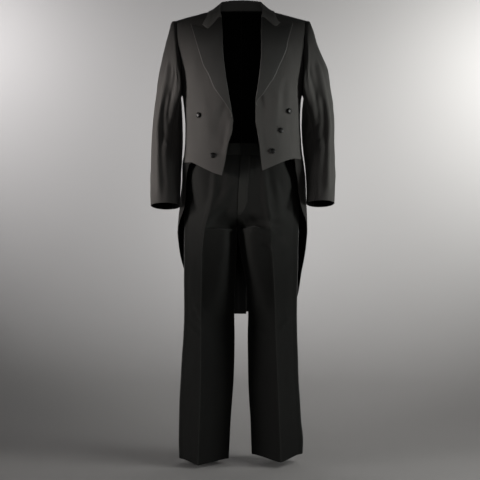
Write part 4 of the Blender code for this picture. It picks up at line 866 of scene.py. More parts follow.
def quarter(side_x, side_y, crease_x, crease_y, share, open_angle, flat, soft=SIDE_SOFT):
    """An arc from the side of a leg (share 0) to its crease (share 1), flat where it is pressed."""
    angle = open_angle * share
    along = (1 - np.cos(angle)) / (1 - np.cos(open_angle))
    out = np.sin(angle) / np.sin(open_angle)
    flat = flat * ease(share / soft)
    along, out = along + (share - along) * flat, out + (share - out) * flat
    return side_x + (crease_x - side_x) * along, side_y + (crease_y - side_y) * out


def trouser_form(side):
    """Points by round (0 inseam, 1 front crease, 2 outseam, 3 back crease, 4 inseam) and height."""

    def point(around, z):
        around, z = np.broadcast_arrays(np.asarray(around, float), np.asarray(z, float))
        out = TROUSER.read("out_" + side, "z", z)
        below = z < CROTCH_Z
        inner = np.where(below, TROUSER.read("in_" + side, "z", z), centre_x(side, z))
        crease = TROUSER.read("crease_" + side, "z", z)
        back_crease = crease - BACK_CREASE_IN
        front_y, back_y = TROUSER.read("front", "z", z), TROUSER.read("back", "z", z)
        crease_share = ease((CREASE_START_Z - z) / (CREASE_START_Z - CREASE_FULL_Z))
        open_angle = ARC_OPEN - ARC_PRESSED * crease_share
        flat = FRONT_FLAT * ease((CREASE_START_Z - z) / (CREASE_START_Z - CROTCH_Z))
        back_flat = BACK_FLAT * ease((CROTCH_Z - z) / (CROTCH_Z - CREASE_FULL_Z))
        quad = np.clip(np.floor(around), 0, 3)
        t = around - quad
        inseam_y = CROTCH_Y * (1 - ease((CROTCH_Z - z) / INSEAM_FADE))
        inseam_y = inseam_y - INSEAM_AHEAD * ease((CROTCH_Z - z) / INSEAM_DRIFT)
        thigh = 1 + (THIGH_FULL - 1) * ease((z - THIGH_LOW_Z) / (CROTCH_Z - THIGH_LOW_Z))

        def inner_arc(share, start_y, end_x, end_y, opened, pressed):
            leg_x, out = quarter(inner, 0, end_x, 1, share, open_angle, pressed, INSEAM_SOFT)
            leg_y = start_y + (end_y - start_y) * (1 - (1 - out) ** thigh)
            body_x = inner + (end_x - inner) * share
            body_y = start_y + (end_y - start_y) * (1 - np.cos(share * math.pi / 2))
            return leg_x + (body_x - leg_x) * opened, leg_y + (body_y - leg_y) * opened

        halves = (  # height of the fork, depth in the middle, crease, pressing and share from the inseam
            (FORK_FRONT, "belly", crease, front_y, flat, t),
            (FORK_BACK, "seat", back_crease, back_y, back_flat, 1 - t),
        )
        inside, outside = [], []
        for fork, middle_name, crease_x, crease_y, pressed, share in halves:
            up = np.clip((z - CROTCH_Z) / fork, 0, 1)
            opened = np.sqrt(np.maximum(1 - (1 - up) ** 2, 0))
            middle = CROTCH_Y + (TROUSER.read(middle_name, "z", z) - CROTCH_Y) * opened
            low = np.where(below, inseam_y, middle)
            opened = np.where(below, 0, opened)
            inside.append(inner_arc(share, low, crease_x, crease_y, opened, pressed))
            outside.append(quarter(out, OUTSEAM_Y, crease_x, crease_y, 1 - share, open_angle, pressed))
        arcs_round = (inside[0], outside[0], outside[1], inside[1])
        x, y = (np.choose(quad.astype(int), [arc[k] for arc in arcs_round]) for k in (0, 1))
        # The pressed creases stand a little proud.
        rise = CREASE_RISE * crease_share
        y = y - np.where(quad < 2, rise * np.exp(-np.abs(x - crease) / CREASE_SOFT), 0)
        y = y + np.where(quad >= 2, rise * np.exp(-np.abs(x - back_crease) / CREASE_SOFT), 0)
        return stack(x, y, z)

    return point


def hem_z(side, around):
    dip = np.abs(np.sin(around * math.pi / 2)) ** 3
    return HEM_SIDE[side] - HEM_DIP[side] * dip


SEAT_ROWS = (  # heights of the panel's rows at the outseam and at the middle seam
    (-516, -516), (-545, -548), (-580, -584), (-615, -622), (-645, -658), (-672, -690), (-697, -716),
    (-718, -736), (-735, -750), (-750, -759), (-763, -763),
)

# %% [markdown]
# ## Folds
#
# Cloth that hangs from the shoulders and the waist drops in soft ridges with a shallow trough beside each.
# A simulation gives other folds each time the cloth changes. Placing each fold one by one, by its two ends,
# its height, its half width and its bow, keeps them where a worn and pressed suit has them, and a little
# unevenness between them stops the cloth from looking machined.

# %% Fold tables
FOLD_COLUMNS = ("x0", "z0", "x1", "z1", "height", "spread", "bow")
FRONT_FOLDS = {
    "right": (
        (50, -345, 84, -462, -3.2, 15, 4),
        (36, -395, 52, -530, 3.2, 11, -3),
        (120, -330, 108, -470, 1.6, 22, 6),
        (168, -330, 150, -480, -1.8, 16, 0),
        (150, -150, 165, -290, 1.4, 18, 0),
        (60, -545, 120, -500, 1.2, 12, 5),
    ),
    "left": (
        (56, -312, 78, -392, -3.0, 11, 3),
        (121, -300, 106, -415, 3.6, 14, 5),
        (146, -262, 136, -372, -2.2, 12, 0),
        (58, -420, 66, -545, 1.8, 10, -3),
        (172, -330, 158, -490, -1.6, 16, 0),
        (150, -140, 168, -280, 1.2, 18, 0),
    ),
}
BACK_FOLDS = {
    "right": (
        (20, -180, 130, -235, 1.8, 20, 8),
        (28, -420, 34, -500, -1.6, 12, 0),
        (100, -120, 150, -200, -1.4, 18, 0),
        (26, -640, 30, -980, 2.4, 12, 5),
        (8, -60, 90, -85, 1.3, 12, -4),
    ),
    "left": (
        (20, -190, 125, -250, 1.8, 20, 8),
        (30, -410, 36, -495, -1.6, 12, 0),
        (96, -130, 150, -210, -1.4, 18, 0),
        (24, -600, 32, -960, 2.2, 12, -5),
        (8, -66, 85, -90, 1.3, 12, -4),
    ),
}
SKIRT_FOLDS = {
    "right": (
        (170, -560, 120, -930, 4.0, 20, -8),
        (90, -560, 82, -980, -3.2, 16, 6),
        (205, -560, 200, -720, -2.4, 14, 0),
    ),
    "left": (
        (165, -560, 125, -900, 3.6, 20, 8),
        (95, -560, 80, -1000, -3.4, 16, -5),
        (205, -555, 205, -700, -2.2, 14, 0),
    ),
}
TROUSER_FRONT_FOLDS = {
    "right": (
        (150, -545, 140, -700, 5, 24, 0),
        (86, -540, 92, -660, 4.0, 10, 0),
        (88, -640, 126, -775, 4.5, 12, 4),
        (22, -620, 112, -742, 4.0, 16, 8),
        (30, -690, 95, -745, -3, 12, 4),
        (36, -560, 60, -690, 1.8, 12, 0),
        (118, -1050, 160, -1022, 3.6, 7, 0),
        (128, -1080, 165, -1050, -2.6, 7, 0),
        (140, -1120, 186, -1090, 3.2, 9, 2),
        (158, -880, 176, -1010, 1.6, 16, 0),
        (60, -900, 88, -1060, 1.4, 20, 0),
        (155, -1180, 175, -1290, 1.4, 18, 0),
        (60, -1210, 80, -1400, 1.3, 20, 0),
    ),
    "left": (
        (74, -548, 84, -690, 6, 12, 0),
        (82, -670, 98, -790, 4.5, 11, 3),
        (112, -600, 132, -735, 3.5, 12, 3),
        (30, -722, 150, -752, -7.0, 13, -5),
        (14, -748, 150, -800, 8.0, 14, -6),
        (60, -812, 150, -842, -4.0, 10, 0),
        (150, -560, 152, -720, 2.6, 20, 0),
        (28, -520, 30, -590, 2.4, 6, 0),
        (8, -690, 26, -716, 1.6, 4.5, 0),
        (6, -722, 22, -752, 1.5, 4.5, 0),
        (128, -1100, 165, -1065, 3, 9, 0),
        (56, -1010, 96, -1030, 1.6, 10, 3),
        (48, -1110, 100, -1122, 1.6, 12, 0),
        (150, -900, 170, -1030, 1.6, 16, 0),
        (60, -1210, 72, -1400, 1.3, 20, 0),
    ),
}
TROUSER_BACK_FOLDS = {
    "right": (
        (30, -740, 120, -830, 4.2, 14, 6),
        (40, -800, 135, -905, -3.4, 13, 5),
        (60, -600, 90, -700, 2.0, 24, 0),
        (70, -1060, 150, -1090, 2.6, 10, -5),
        (80, -1110, 160, -1100, -2.0, 9, 0),
        (150, -900, 160, -1050, 1.6, 18, 0),
        (70, -1240, 84, -1420, 1.5, 20, 0),
    ),
    "left": (
        (28, -748, 115, -840, 4.0, 14, 6),
        (40, -815, 130, -910, -3.2, 13, 5),
        (64, -610, 92, -690, 1.8, 24, 0),
        (66, -1085, 145, -1070, 2.4, 10, 5),
        (70, -1135, 150, -1150, -2.0, 9, 0),
        (148, -880, 160, -1040, 1.6, 18, 0),
        (66, -1230, 80, -1410, 1.5, 20, 0),
    ),
}
SLEEVE_LONG = 650.0  # millimetres of sleeve for one way, in which its folds are laid out
SLEEVE_ROUND = 1.6  # millimetres of sleeve for one degree round it
SLEEVE_FOLDS = {  # way and degrees for x and z; 0 is the outside, 90 the front, 180 the inside
    "right": (
        (0.28, 44, 0.50, 66, 7, 15, 0),
        (0.46, 64, 0.72, 76, 7.5, 15, 0),
        (0.68, 76, 1.00, 80, 4.5, 17, 0),
        (0.25, 76, 0.46, 94, -5, 14, 0),
        (0.42, 90, 0.60, 108, -3.5, 14, 0),
        (0.14, 102, 0.62, 138, 7.5, 17, 2),
        (0.30, -60, 0.52, -10, -4, 18, 0),
        (0.60, 104, 0.66, 165, -1.4, 10, 4),
        (0.70, 100, 0.76, 160, 1.2, 8, -3),
        (0.52, -150, 0.60, -60, 3.2, 11, 5),
        (0.60, -160, 0.67, -70, -2.6, 10, 4),
        (0.20, -120, 0.44, -60, 2.6, 16, 0),
        (0.84, 10, 0.97, 50, 1.4, 12, 0),
    ),
    "left": (
        (0.28, 42, 0.50, 64, 7, 16, 0),
        (0.46, 62, 0.72, 74, 7.5, 16, 0),
        (0.68, 74, 1.00, 78, 4.5, 18, 0),
        (0.24, 74, 0.46, 92, -5.5, 14, 0),
        (0.42, 88, 0.60, 108, -3.5, 14, 0),
        (0.14, 100, 0.62, 138, 7.5, 17, 2),
        (0.04, 60, 0.24, 84, 2.5, 14, 0),
        (0.60, 100, 0.67, 162, -1.4, 9, 4),
        (0.70, 100, 0.76, 160, 1.3, 8, -3),
        (0.50, -150, 0.58, -60, 3.2, 11, 5),
        (0.59, -160, 0.66, -70, -2.6, 10, 4),
        (0.20, -120, 0.42, -60, 2.6, 16, 0),
        (0.82, 10, 0.97, 46, 1.4, 12, 0),
    ),
}
TROUGH_SHARE = 0.4  # depth of the trough beside a ridge
TROUGH_AWAY = 1.7  # its distance from the ridge, in half widths
TROUGH_WIDE = 1.2  # its half width, in those of the ridge
SPREAD_START, SPREAD_GAIN = 0.75, 0.5  # a fold widens on its way down
END_SOFT, END_HELD = 0.35, 0.3  # share of a fold that fades at each end, and how much of it is left there
SWELL = {  # size and height of the unevenness, in millimetres
    "lapel": (60.0, 0.5), "collar": (50.0, 0.35), "sleeve": (70.0, 1.8), "trousers": (75.0, 1.5),
    "waistband": (60.0, 0.5),
}


def folds(rows, x, z):
    """Height of the soft ridges and troughs at each x and z."""
    total = np.zeros(np.shape(x))
    for row in rows:
        fold = dict(zip(FOLD_COLUMNS, row))
        run = np.array([fold["x1"] - fold["x0"], fold["z1"] - fold["z0"]], float)
        length = np.hypot(*run)
        run /= length
        dx, dz = x - fold["x0"], z - fold["z0"]
        along = (dx * run[0] + dz * run[1]) / length
        off = (dz * run[0] - dx * run[1]) - fold["bow"] * 4 * along * (1 - along)
        spread = fold["spread"] * (SPREAD_START + SPREAD_GAIN * np.clip(along, 0, 1))
        ends = ease(along / END_SOFT + END_HELD) * ease((1 - along) / END_SOFT + END_HELD)
        ridge = np.exp(-((off / spread) ** 2))
        trough = np.exp(-(((off - TROUGH_AWAY * spread) / (TROUGH_WIDE * spread)) ** 2))
        total += fold["height"] * ends * (ridge - TROUGH_SHARE * trough)
    return total


def unevenness(points, size, height, seed):
    """A slow, uneven swell of hung cloth, longer in height than across."""
    flat = points.reshape(-1, 3) / size
    swell = [noise.fractal(Vector((p[0] + seed, p[1], p[2] * 0.4)), 0.8, 2.0, 3) for p in flat]
    return height * np.array(swell).reshape(points.shape[:-1])


# %% [markdown]
# ## A sheet of cloth
#
# Each panel starts as a grid primitive, like a piece of cloth on the cutting table. Its corners are moved
# onto the form, the borders are rounded where they are turned edges and sunk where they are seams, and a
# Solidify modifier gives it a wall with the lining on its inner skin. The map called Cloth holds
# millimetres along the thread, so a weave follows the panel and not the room.

# %% Borders
BORDERS = {  # kind of border: distance in from it and how far the face stands there
    "seam": ((0.0, -1.0), (1.1, -0.55), (2.8, -0.08)),
    "edge": ((0.0, -0.75), (0.5, -0.2), (1.5, 0.0)),
    "open": ((0.0, 0.0),),
}
FAR = 60.0  # millimetres from a border or crease past which no highlight is painted
SEAM_FADE = 20.0  # folds die away over this distance before a seam


def grid_normals(points):
    return unit(np.cross(np.gradient(points, axis=1), np.gradient(points, axis=0)))


def normals_out(points, outwards):
    """Normals of a grid, turned to lean on the whole the way of outwards."""
    normals = grid_normals(points)
    return -normals if np.sum(normals * outwards) < 0 else normals


def arcs(points):
    """Distances of every point of a grid from its low, high, first and last border."""
    step = np.linalg.norm(np.diff(points, axis=1), axis=-1)
    first = np.concatenate([np.zeros((len(points), 1)), np.cumsum(step, axis=1)], axis=1)
    step = np.linalg.norm(np.diff(points, axis=0), axis=-1)
    low = np.concatenate([np.zeros((1, points.shape[1])), np.cumsum(step, axis=0)], axis=0)
    return low, low[-1:] - low, first, first[:, -1:] - first


def lines_near(points, normals, kind, end):
    """The columns that finish one border of a grid, from the border inwards."""
    border, inside = (points[:, 0], points[:, 1]) if end == 0 else (points[:, -1], points[:, -2])
    normal = normals[:, 0] if end == 0 else normals[:, -1]
    gap = np.linalg.norm(inside - border, axis=1, keepdims=True)
    towards = (inside - border) / np.maximum(gap, 1e-6)
    deepest = max(BORDERS[kind][-1][0], 1e-6)
    scale = np.minimum(0.8 * gap / deepest, 1.0)
    return [(border + towards * away * scale + normal * height, normal) for away, height in BORDERS[kind]]


def finish_columns(points, normals, first, last):
    ahead = lines_near(points, normals, first, 0)
    behind = lines_near(points, normals, last, 1)[::-1]
    made = [np.stack([pair[k] for pair in ahead], axis=1) for k in (0, 1)]
    ends = [np.stack([pair[k] for pair in behind], axis=1) for k in (0, 1)]
    return (
        np.concatenate([made[0], points[:, 1:-1], ends[0]], axis=1),
        np.concatenate([made[1], normals[:, 1:-1], ends[1]], axis=1),
    )


# %% Making a sheet
measured = {}
made_pieces = {}


def tell(title, start=""):
    """Prints width, length and area of the sheets whose names start so."""
    print(title, {node: facts[:3] for node, facts in measured.items() if node.startswith(start)})


def raise_folds(points, normals, kinds, height):
    """Moves the cloth out by the height of its folds, which die away before the seams."""
    for kind, away in zip(kinds, arcs(points)):
        if kind == "seam":
            height = height * ease(away / SEAM_FADE)
    return points + normals * height[..., None]


def grid_piece(name, points, normals, maps):
    """A grid primitive with its corners moved to the points, in metres, and its faces outwards."""
    rows, columns = points.shape[:2]
    bpy.ops.object.select_all(action="DESELECT")
    bpy.ops.mesh.primitive_grid_add(x_subdivisions=columns - 1, y_subdivisions=rows - 1, size=1)
    piece = bpy.context.object
    piece.name = piece.data.name = name
    piece.data.vertices.foreach_set("co", (points * MM).astype(np.float32).ravel())
    low, _, first, _ = arcs(points)
    across = first - first.mean(axis=1, keepdims=True)
    flat = np.stack([across, low], axis=-1).reshape(-1, 2) * MM
    layer = piece.data.uv_layers[0]
    layer.name = "Cloth"
    corner = np.zeros(len(piece.data.loops), np.int32)
    piece.data.loops.foreach_get("vertex_index", corner)
    layer.uv.foreach_set("vector", flat[corner].astype(np.float32).ravel())
    for key, values in maps.items():
        attribute = piece.data.attributes.new(key, "FLOAT", "POINT")
        attribute.data.foreach_set("value", np.minimum(values, FAR).astype(np.float32).ravel())
    piece.data.update()
    if np.sum(grid_normals(points) * normals) < 0:
        bpy.ops.object.mode_set(mode="EDIT")
        bpy.ops.mesh.select_all(action="SELECT")
        bpy.ops.mesh.flip_normals()
        bpy.ops.object.mode_set(mode="OBJECT")
    return piece


def give_wall(piece, thickness):
    wall = piece.modifiers.new("Wall", "SOLIDIFY")
    wall.thickness = thickness * MM
    wall.offset = -1
    wall.material_offset = 1
    bpy.ops.object.modifier_apply(modifier=wall.name)
    bpy.ops.object.shade_smooth_by_angle(angle=math.radians(55))


def cloth(
    node, side, points, normals, kinds, outside, inside, slot, rests_on,
    thickness=WOOL_THICK, maps=None,
):
    """One sheet of cloth for one node: its borders finished, its wall, finishes and facts."""
    turn = np.array([SIGN[side] if side else 1.0, 1, 1])
    low, high, first, last = arcs(points)
    width, length = float(first[:, -1].max()) * MM, float(low[-1].max()) * MM
    across = points[:-1, 1:] - points[:-1, :-1]
    upward = points[1:, :-1] - points[:-1, :-1]
    area = float(np.linalg.norm(np.cross(across, upward), axis=-1).sum()) * MM**2
    maps = dict(maps or {})
    fields = np.concatenate([points] + [maps[key][..., None] for key in maps], axis=-1)
    normals = np.concatenate([normals] + [0 * maps[key][..., None] for key in maps], axis=-1)
    for border_kinds in (kinds[2:], kinds[:2]):
        finished = finish_columns(fields, normals, *border_kinds)
        fields, normals = (a.swapaxes(0, 1) for a in finished)
    points, normals = fields[..., :3] * turn, normals[..., :3] * turn
    maps = {key: fields[..., 3 + k] for k, key in enumerate(maps)}
    away = {kind: np.full(points.shape[:2], FAR) for kind in ("edge", "seam")}
    for kind, distance in zip(kinds, arcs(points)):
        if kind in away:
            away[kind] = np.minimum(away[kind], distance)
    piece = grid_piece(node + "_cloth", points, normals, {**away, **maps})
    piece.data.materials.append(outside)
    piece.data.materials.append(inside)
    give_wall(piece, thickness)
    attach(piece, "root")
    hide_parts(node)
    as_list(rests_on)
    measured[node] = (round(width, 3), round(length, 3), round(area, 4), len(piece.data.polygons))
    made_pieces[node] = piece
    return piece


# %% [markdown]
# ## Finishes
#
# Black suiting isn't a flat black. Barathea is a broken rib of fine worsted with a short nap that greys
# where light grazes it; the lapel silk is smoother and darker; a covered button shines. Each finish is a
# Principled shader whose colour and bump come from threads in the Cloth map, a soft mottle on the piece,
# and the distance from the pressed edges and creases, along which a highlight is painted a little lighter.

# %% Node helpers
def add(tree, kind, settings=None, inputs=None):
    """A node with its settings, and its inputs as numbers or as links from other nodes."""
    made = tree.nodes.new(kind)
    for key, value in (settings or {}).items():
        setattr(made, key, value)
    for key, value in (inputs or {}).items():
        if isinstance(value, bpy.types.NodeSocket):
            tree.links.new(value, made.inputs[key])
        else:
            made.inputs[key].default_value = value
    return made


def math_node(tree, operation, a, b):
    return add(tree, "ShaderNodeMath", {"operation": operation}, {0: a, 1: b}).outputs[0]


def mix(tree, share, a, b):
    made = add(tree, "ShaderNodeMix", {"data_type": "RGBA"}, {0: share, 6: a, 7: b})
    return made.outputs[2]


def within(tree, name, near, far):
    """1 closer than near to the line that the attribute measures from, 0 beyond far, in millimetres."""
    away = add(tree, "ShaderNodeAttribute", {"attribute_name": name}).outputs["Fac"]
    inputs = {"Value": away, "From Min": near, "From Max": far, "To Min": 1.0, "To Max": 0.0}
    return add(tree, "ShaderNodeMapRange", {"clamp": True}, inputs).outputs["Result"]


def start_finish(name, roughness, sheen, specular):
    made = bpy.data.materials.new(name)
    made.use_nodes = True
    tree = made.node_tree
    shader = tree.nodes["Principled BSDF"]
    shader.inputs["Roughness"].default_value = roughness
    shader.inputs["Sheen Weight"].default_value = sheen
    shader.inputs["Sheen Roughness"].default_value = 0.35
    shader.inputs["Specular IOR Level"].default_value = specular
    return made, tree, shader


def shade(colour, by):
    return tuple(channel * by for channel in colour) + (1.0,)


def threads(tree, spacing, lean):
    """Warp and weft as two crossed waves in the Cloth map, spacing metres apart."""
    cloth_map = add(tree, "ShaderNodeUVMap", {"uv_map": "Cloth"}).outputs[0]
    turned = add(tree, "ShaderNodeMapping", {}, {"Vector": cloth_map, "Rotation": (0, 0, lean)}).outputs[0]
    waves = []
    for direction in ("X", "Y"):
        settings = {"wave_type": "BANDS", "bands_direction": direction}
        inputs = {"Vector": turned, "Scale": math.pi / 10 / spacing, "Distortion": 1.2, "Detail": 1.0}
        waves.append(add(tree, "ShaderNodeTexWave", settings, inputs).outputs["Fac"])
    return waves


def speckle(tree, scale, detail):
    place = add(tree, "ShaderNodeTexCoord").outputs["Object"]
    inputs = {"Vector": place, "Scale": scale, "Detail": detail}
    return add(tree, "ShaderNodeTexNoise", {}, inputs).outputs["Fac"]


def bump(tree, shader, height, strength, deep):
    inputs = {"Height": height, "Strength": strength, "Distance": deep}
    tree.links.new(add(tree, "ShaderNodeBump", {}, inputs).outputs[0], shader.inputs["Normal"])


# %% Wool, silk and lining
THREAD = 0.0006


def make_wool(name, colour, highlight_strength):
    made, tree, shader = start_finish(name, roughness=0.85, sheen=0.04, specular=0.18)
    warp, weft = threads(tree, THREAD, math.radians(45))
    nap = speckle(tree, 1400, 2)
    mottle = speckle(tree, 11, 3)
    base = mix(tree, mottle, shade(colour, 0.82), shade(colour, 1.18))
    base = mix(tree, math_node(tree, "MULTIPLY", nap, 0.22), base, shade(colour, 2.0))
    # Painted highlight: the colour turns lighter within 3 mm of the turned edges and along the pressed
    # creases, where light catches them.
    painted_highlight = math_node(tree, "MULTIPLY", within(tree, "edge", 0.4, 3.0), highlight_strength)
    pressed = math_node(tree, "MULTIPLY", within(tree, "crease", 0.5, 3.2), highlight_strength * 1.1)
    painted_highlight = math_node(tree, "MAXIMUM", painted_highlight, pressed)
    tree.links.new(mix(tree, painted_highlight, base, shade(colour, 3.4)), shader.inputs["Base Color"])
    weave = math_node(tree, "ADD", math_node(tree, "MULTIPLY", warp, weft), nap)
    bump(tree, shader, weave, 0.35, 0.00016)
    return made


def make_silk(name, colour, edge_highlight_colour):
    """Ribbed silk, with a painted highlight: a thin lighter line along the lapel's outer edge."""
    made, tree, shader = start_finish(name, roughness=0.55, sheen=0.0, specular=0.3)
    rib, _ = threads(tree, 0.0008, 0.0)
    mottle = speckle(tree, 16, 3)
    base = mix(tree, mottle, shade(colour, 0.85), shade(colour, 1.2))
    # Painted highlight: the last 2.3 to 3 mm by the lapel's outer edge are coloured lighter, where light
    # catches the rolled edge.
    line = within(tree, "trim", 2.3, 3.0)
    tree.links.new(mix(tree, line, base, edge_highlight_colour + (1.0,)), shader.inputs["Base Color"])
    bump(tree, shader, rib, 0.25, 0.0001)
    return made


def make_satin(name, colour, roughness, spacing, specular=0.5):
    made, tree, shader = start_finish(name, roughness, 0.0, specular)
    mottle = speckle(tree, 1 / spacing, 2)
    base = mix(tree, mottle, shade(colour, 0.8), shade(colour, 1.25))
    tree.links.new(base, shader.inputs["Base Color"])
    bump(tree, shader, mottle, 0.2, 0.00008)
    return made


COAT_WOOL = make_wool("coat_barathea", (0.036, 0.0345, 0.033), 0.35)
# The collar is the coat's barathea coloured lighter: painted light on its upturned cloth.
COLLAR_WOOL_PAINTED_LIGHT = make_wool("collar_barathea_painted_light", (0.088, 0.0855, 0.081), 0.35)
# The trousers' barathea is coloured about three times darker than the coat's; part of that darkness is
# painted shade on the legs.
TROUSER_WOOL = make_wool("trouser_barathea", (0.0105, 0.0107, 0.0099), 0.4)
LAPEL_SILK = make_silk("lapel_silk", (0.042, 0.0415, 0.0397), (0.12, 0.117, 0.112))
BRAID_SILK = make_satin("braid_silk", (0.014, 0.014, 0.013), 0.4, 0.0007)
BUTTON_SATIN = make_satin("button_satin", (0.004, 0.004, 0.004), 0.4, 0.0006, 0.25)
COAT_LINING = make_satin("coat_lining", (0.003, 0.003, 0.003), 0.7, 0.0009, 0.12)
TROUSER_LINING = make_satin("trouser_lining", (0.006, 0.006, 0.0055), 0.7, 0.0009, 0.2)
THREAD_BLACK = make_satin("black_thread", (0.02, 0.02, 0.02), 0.5, 0.0004)
COAT_FINISH = (COAT_WOOL, COAT_LINING, "coat_wool")
print("finishes", len([m for m in bpy.data.materials if m.users or m.use_nodes]))

# %% [markdown]
# ## Coat: fronts, sides, backs and skirts
#
# The body of a tailcoat is cut close to the waist, with a curved back seam, a waist seam and two long
# skirts. Each panel is filled in between its seams on the coat's form, and then its folds are raised.

# %% Coat panels
DIMPLE = 0.9  # how deep the cloth is drawn in round a button
DIMPLE_WIDE = 15.0
SWELLS = ((85.0, 1.3, 0.0), (26.0, 0.35, 9.0))  # size, height and shift of the unevenness


def button_dimples(side, x, z):
    """The cloth is drawn in a little where a button is sewn on."""
    total = np.zeros(np.shape(x))
    for owner, button_x, button_z in FRONT_BUTTONS.values():
        if owner == side:
            total -= DIMPLE * np.exp(-(((x - button_x) ** 2 + (z - button_z) ** 2) / DIMPLE_WIDE**2))
    return total


def coat_relief(points, rows, seed):
    height = folds(rows, points[..., 0], points[..., 2])
    for size, deep, shift in SWELLS:
        height = height + unevenness(points, size, deep, seed + shift)
    return height


def vent_step(points):
    """The right tail dips under the left one at the vent."""
    below = ease((VENT_TOP_Z - points[..., 2]) / VENT_RAMP)
    near = ease((VENT_SIDE - points[..., 0]) / VENT_SOFT)
    return (CLOTH + LAY_GAP + VENT_CLEAR) * below * near


TAILORED = ("edge", "seam", "edge", "seam")
PANELS = (  # name, cut, form, step of its normals, folds, seed, borders, what it is sewn to
    (
        "coat_front_", front_grid, front_form, 0.01, FRONT_FOLDS, 3.0, TAILORED,
        ("coat_back_{}", "coat_side_{}"),
    ),
    ("coat_side_", side_grid, side_form, 1.0, {}, 12.0, ("seam",) * 4, ("coat_front_{}", "coat_back_{}")),
    ("coat_back_", back_grid, back_form, 0.01, BACK_FOLDS, 21.0, ("edge",) + ("seam",) * 3, ("coat_collar",)),
    (
        "coat_skirt_", skirt_grid, skirt_form, 1.0, SKIRT_FOLDS, 33.0, TAILORED,
        ("coat_side_{}", "coat_back_{}"),
    ),
)
for prefix, cut_panel, form, step, rows, seed, kinds, under in PANELS:
    for side in SIGN:
        grid = cut_panel(side)
        points, normals = face(form(side), grid[..., 0], grid[..., 1], db=step)
        height = coat_relief(points, rows.get(side, ()), seed + SIGN[side])
        if prefix == "coat_front_":
            height = height + button_dimples(side, points[..., 0], points[..., 2])
        points = raise_folds(points, normals, kinds, height)
        if prefix + side == "coat_back_right":
            points[..., 1] -= vent_step(points)
        cloth(
            prefix + side, side, points, normals, kinds, *COAT_FINISH,
            [name.format(side) for name in under],
        )
tell("coat body")

# %% [markdown]
# ## Lapels
#
# A peak lapel is the front turned back and faced in silk. It rolls softly round the front edge, and its
# outer edge stands a little off the chest. It could be bent with a modifier, but a grid that starts behind
# the edge, goes round it and runs out over the chest gives the same roll with a radius that is known.

# %% Lapels
def lay_on_front(side, xz, out):
    """Points at x and z of the front's outer face, moved out from it."""
    place = to_form(side, xz[..., 0], xz[..., 1], False)
    points, normals = face(front_form(side), place[..., 0], place[..., 1])
    return points + normals * np.asarray(out, float)[..., None]


def lapel_points(side, rows=72, columns=28, turn_cells=8):
    """The outer face of a lapel: it rolls round the front edge and lies on the panel."""
    v = np.linspace(0, 1, rows + 1)
    roll_z = LAPEL_BREAK_Z[side] + (LAPEL_TOP_Z - LAPEL_BREAK_Z[side]) * v
    roll = stack(edge_x(side, roll_z), roll_z)
    foot = roll[0] + LAPEL_FOOT
    outer = smooth_line(np.array((foot,) + LAPEL[side], float), v)
    u = np.linspace(0, 1, columns + 1)
    top = polyline(np.array((roll[-1], LAPEL_NOTCH[side], LAPEL[side][-1]), float), u)
    flat = patch(roll[0] + (foot - roll[0]) * u[:, None], top, roll, outer)
    lay = FACING + LAY_GAP + LAPEL_SPRING * u + 0 * v[:, None]
    body = lay_on_front(side, flat, lay)
    reach = TURN_ROUND * (TURN_LEAST + (1 - TURN_LEAST) * ease(v * 4))
    turned = []
    for k in range(turn_cells, 0, -1):
        angle = reach * k / turn_cells
        line = roll - stack(TURN_RADIUS * np.sin(angle), 0 * angle)
        turned.append(lay_on_front(side, line, TURN_RADIUS * np.cos(angle) - CLOTH / 2))
    return np.concatenate([np.stack(turned, axis=1), body], axis=1)


for side in SIGN:
    points = lapel_points(side)
    normals = grid_normals(points)
    trim = arcs(points)[3]
    height = unevenness(points, *SWELL["lapel"], 41.0 + SIGN[side])
    points = points + normals * (height * ease(trim / EDGE_SOFT))[..., None]
    cloth(
        "lapel_" + side, side, points, normals, ("edge", "edge", "open", "edge"), LAPEL_SILK, COAT_WOOL,
        "lapel_silk", ["coat_front_" + side], SILK_THICK, {"trim": trim},
    )
tell("lapels", "lapel")

# %% [markdown]
# ## Collar
#
# The collar stands up round the neck, folds over and falls on the shoulders, and meets each lapel at the
# gorge. One grid runs from gorge to gorge: up the stand, over the fold and down the fall.

# %% Collar
NECK_SEAM_CELLS = 39


def neck_seam(side, ways):
    """Points, normals and the direction towards the neck along the neckline of half a coat."""
    back = neckline(side, NECK_SEAM_CELLS)
    z = np.linspace(SHOULDER_NECK_Z, GORGE_Z, NECK_SEAM_CELLS + 1)[1:]
    front = to_form(side, edge_x(side, z), z, False)
    behind, behind_normals = face(back_form(side), back[:, 0], back[:, 1] - 0.001, db=-0.001)
    ahead, ahead_normals = face(front_form(side), front[:, 0], front[:, 1] - 0.001, db=-0.001)
    points = np.concatenate([behind, ahead])
    normals = np.concatenate([behind_normals, ahead_normals])
    normals *= np.sign(normals[:, 2:])
    inward = unit(np.cross(np.gradient(points, axis=0), normals))
    inward *= np.sign(np.sum(inward * -points * [1, 1, 0], axis=1))[:, None]
    return [polyline(points, ways, part) for part in (points, unit(normals), inward)]


def coat_surface(side, steps=110):
    """The upper coat as a tree of points, with their normals, to keep the collar clear of it."""
    places, facing = [], []
    for form, turns in ((front_form(side), (0.15, 1.2)), (back_form(side), (1.9, math.pi))):
        turn, level = np.meshgrid(np.linspace(*turns, steps), np.linspace(0.3, 1, steps))
        points, normals = face(form, turn, level, db=-0.004)
        normals *= np.sign(normals[..., 2:])
        places.append(points.reshape(-1, 3))
        facing.append(normals.reshape(-1, 3))
    places, facing = np.concatenate(places), np.concatenate(facing)
    tree = KDTree(len(places))
    for k, place in enumerate(places):
        tree.insert(place, k)
    tree.balance()
    return tree, places, facing


def keep_clear(points, surface, offset):
    """Lifts each point until it stands at least the offset away from the coat."""
    tree, places, facing = surface
    flat = points.reshape(-1, 3).copy()
    for _ in range(3):
        nearest = np.array([tree.find(Vector(p))[1] for p in flat])
        height = np.sum((flat - places[nearest]) * facing[nearest], axis=1)
        flat += facing[nearest] * np.maximum(offset - height, 0)[:, None]
    return flat.reshape(points.shape)


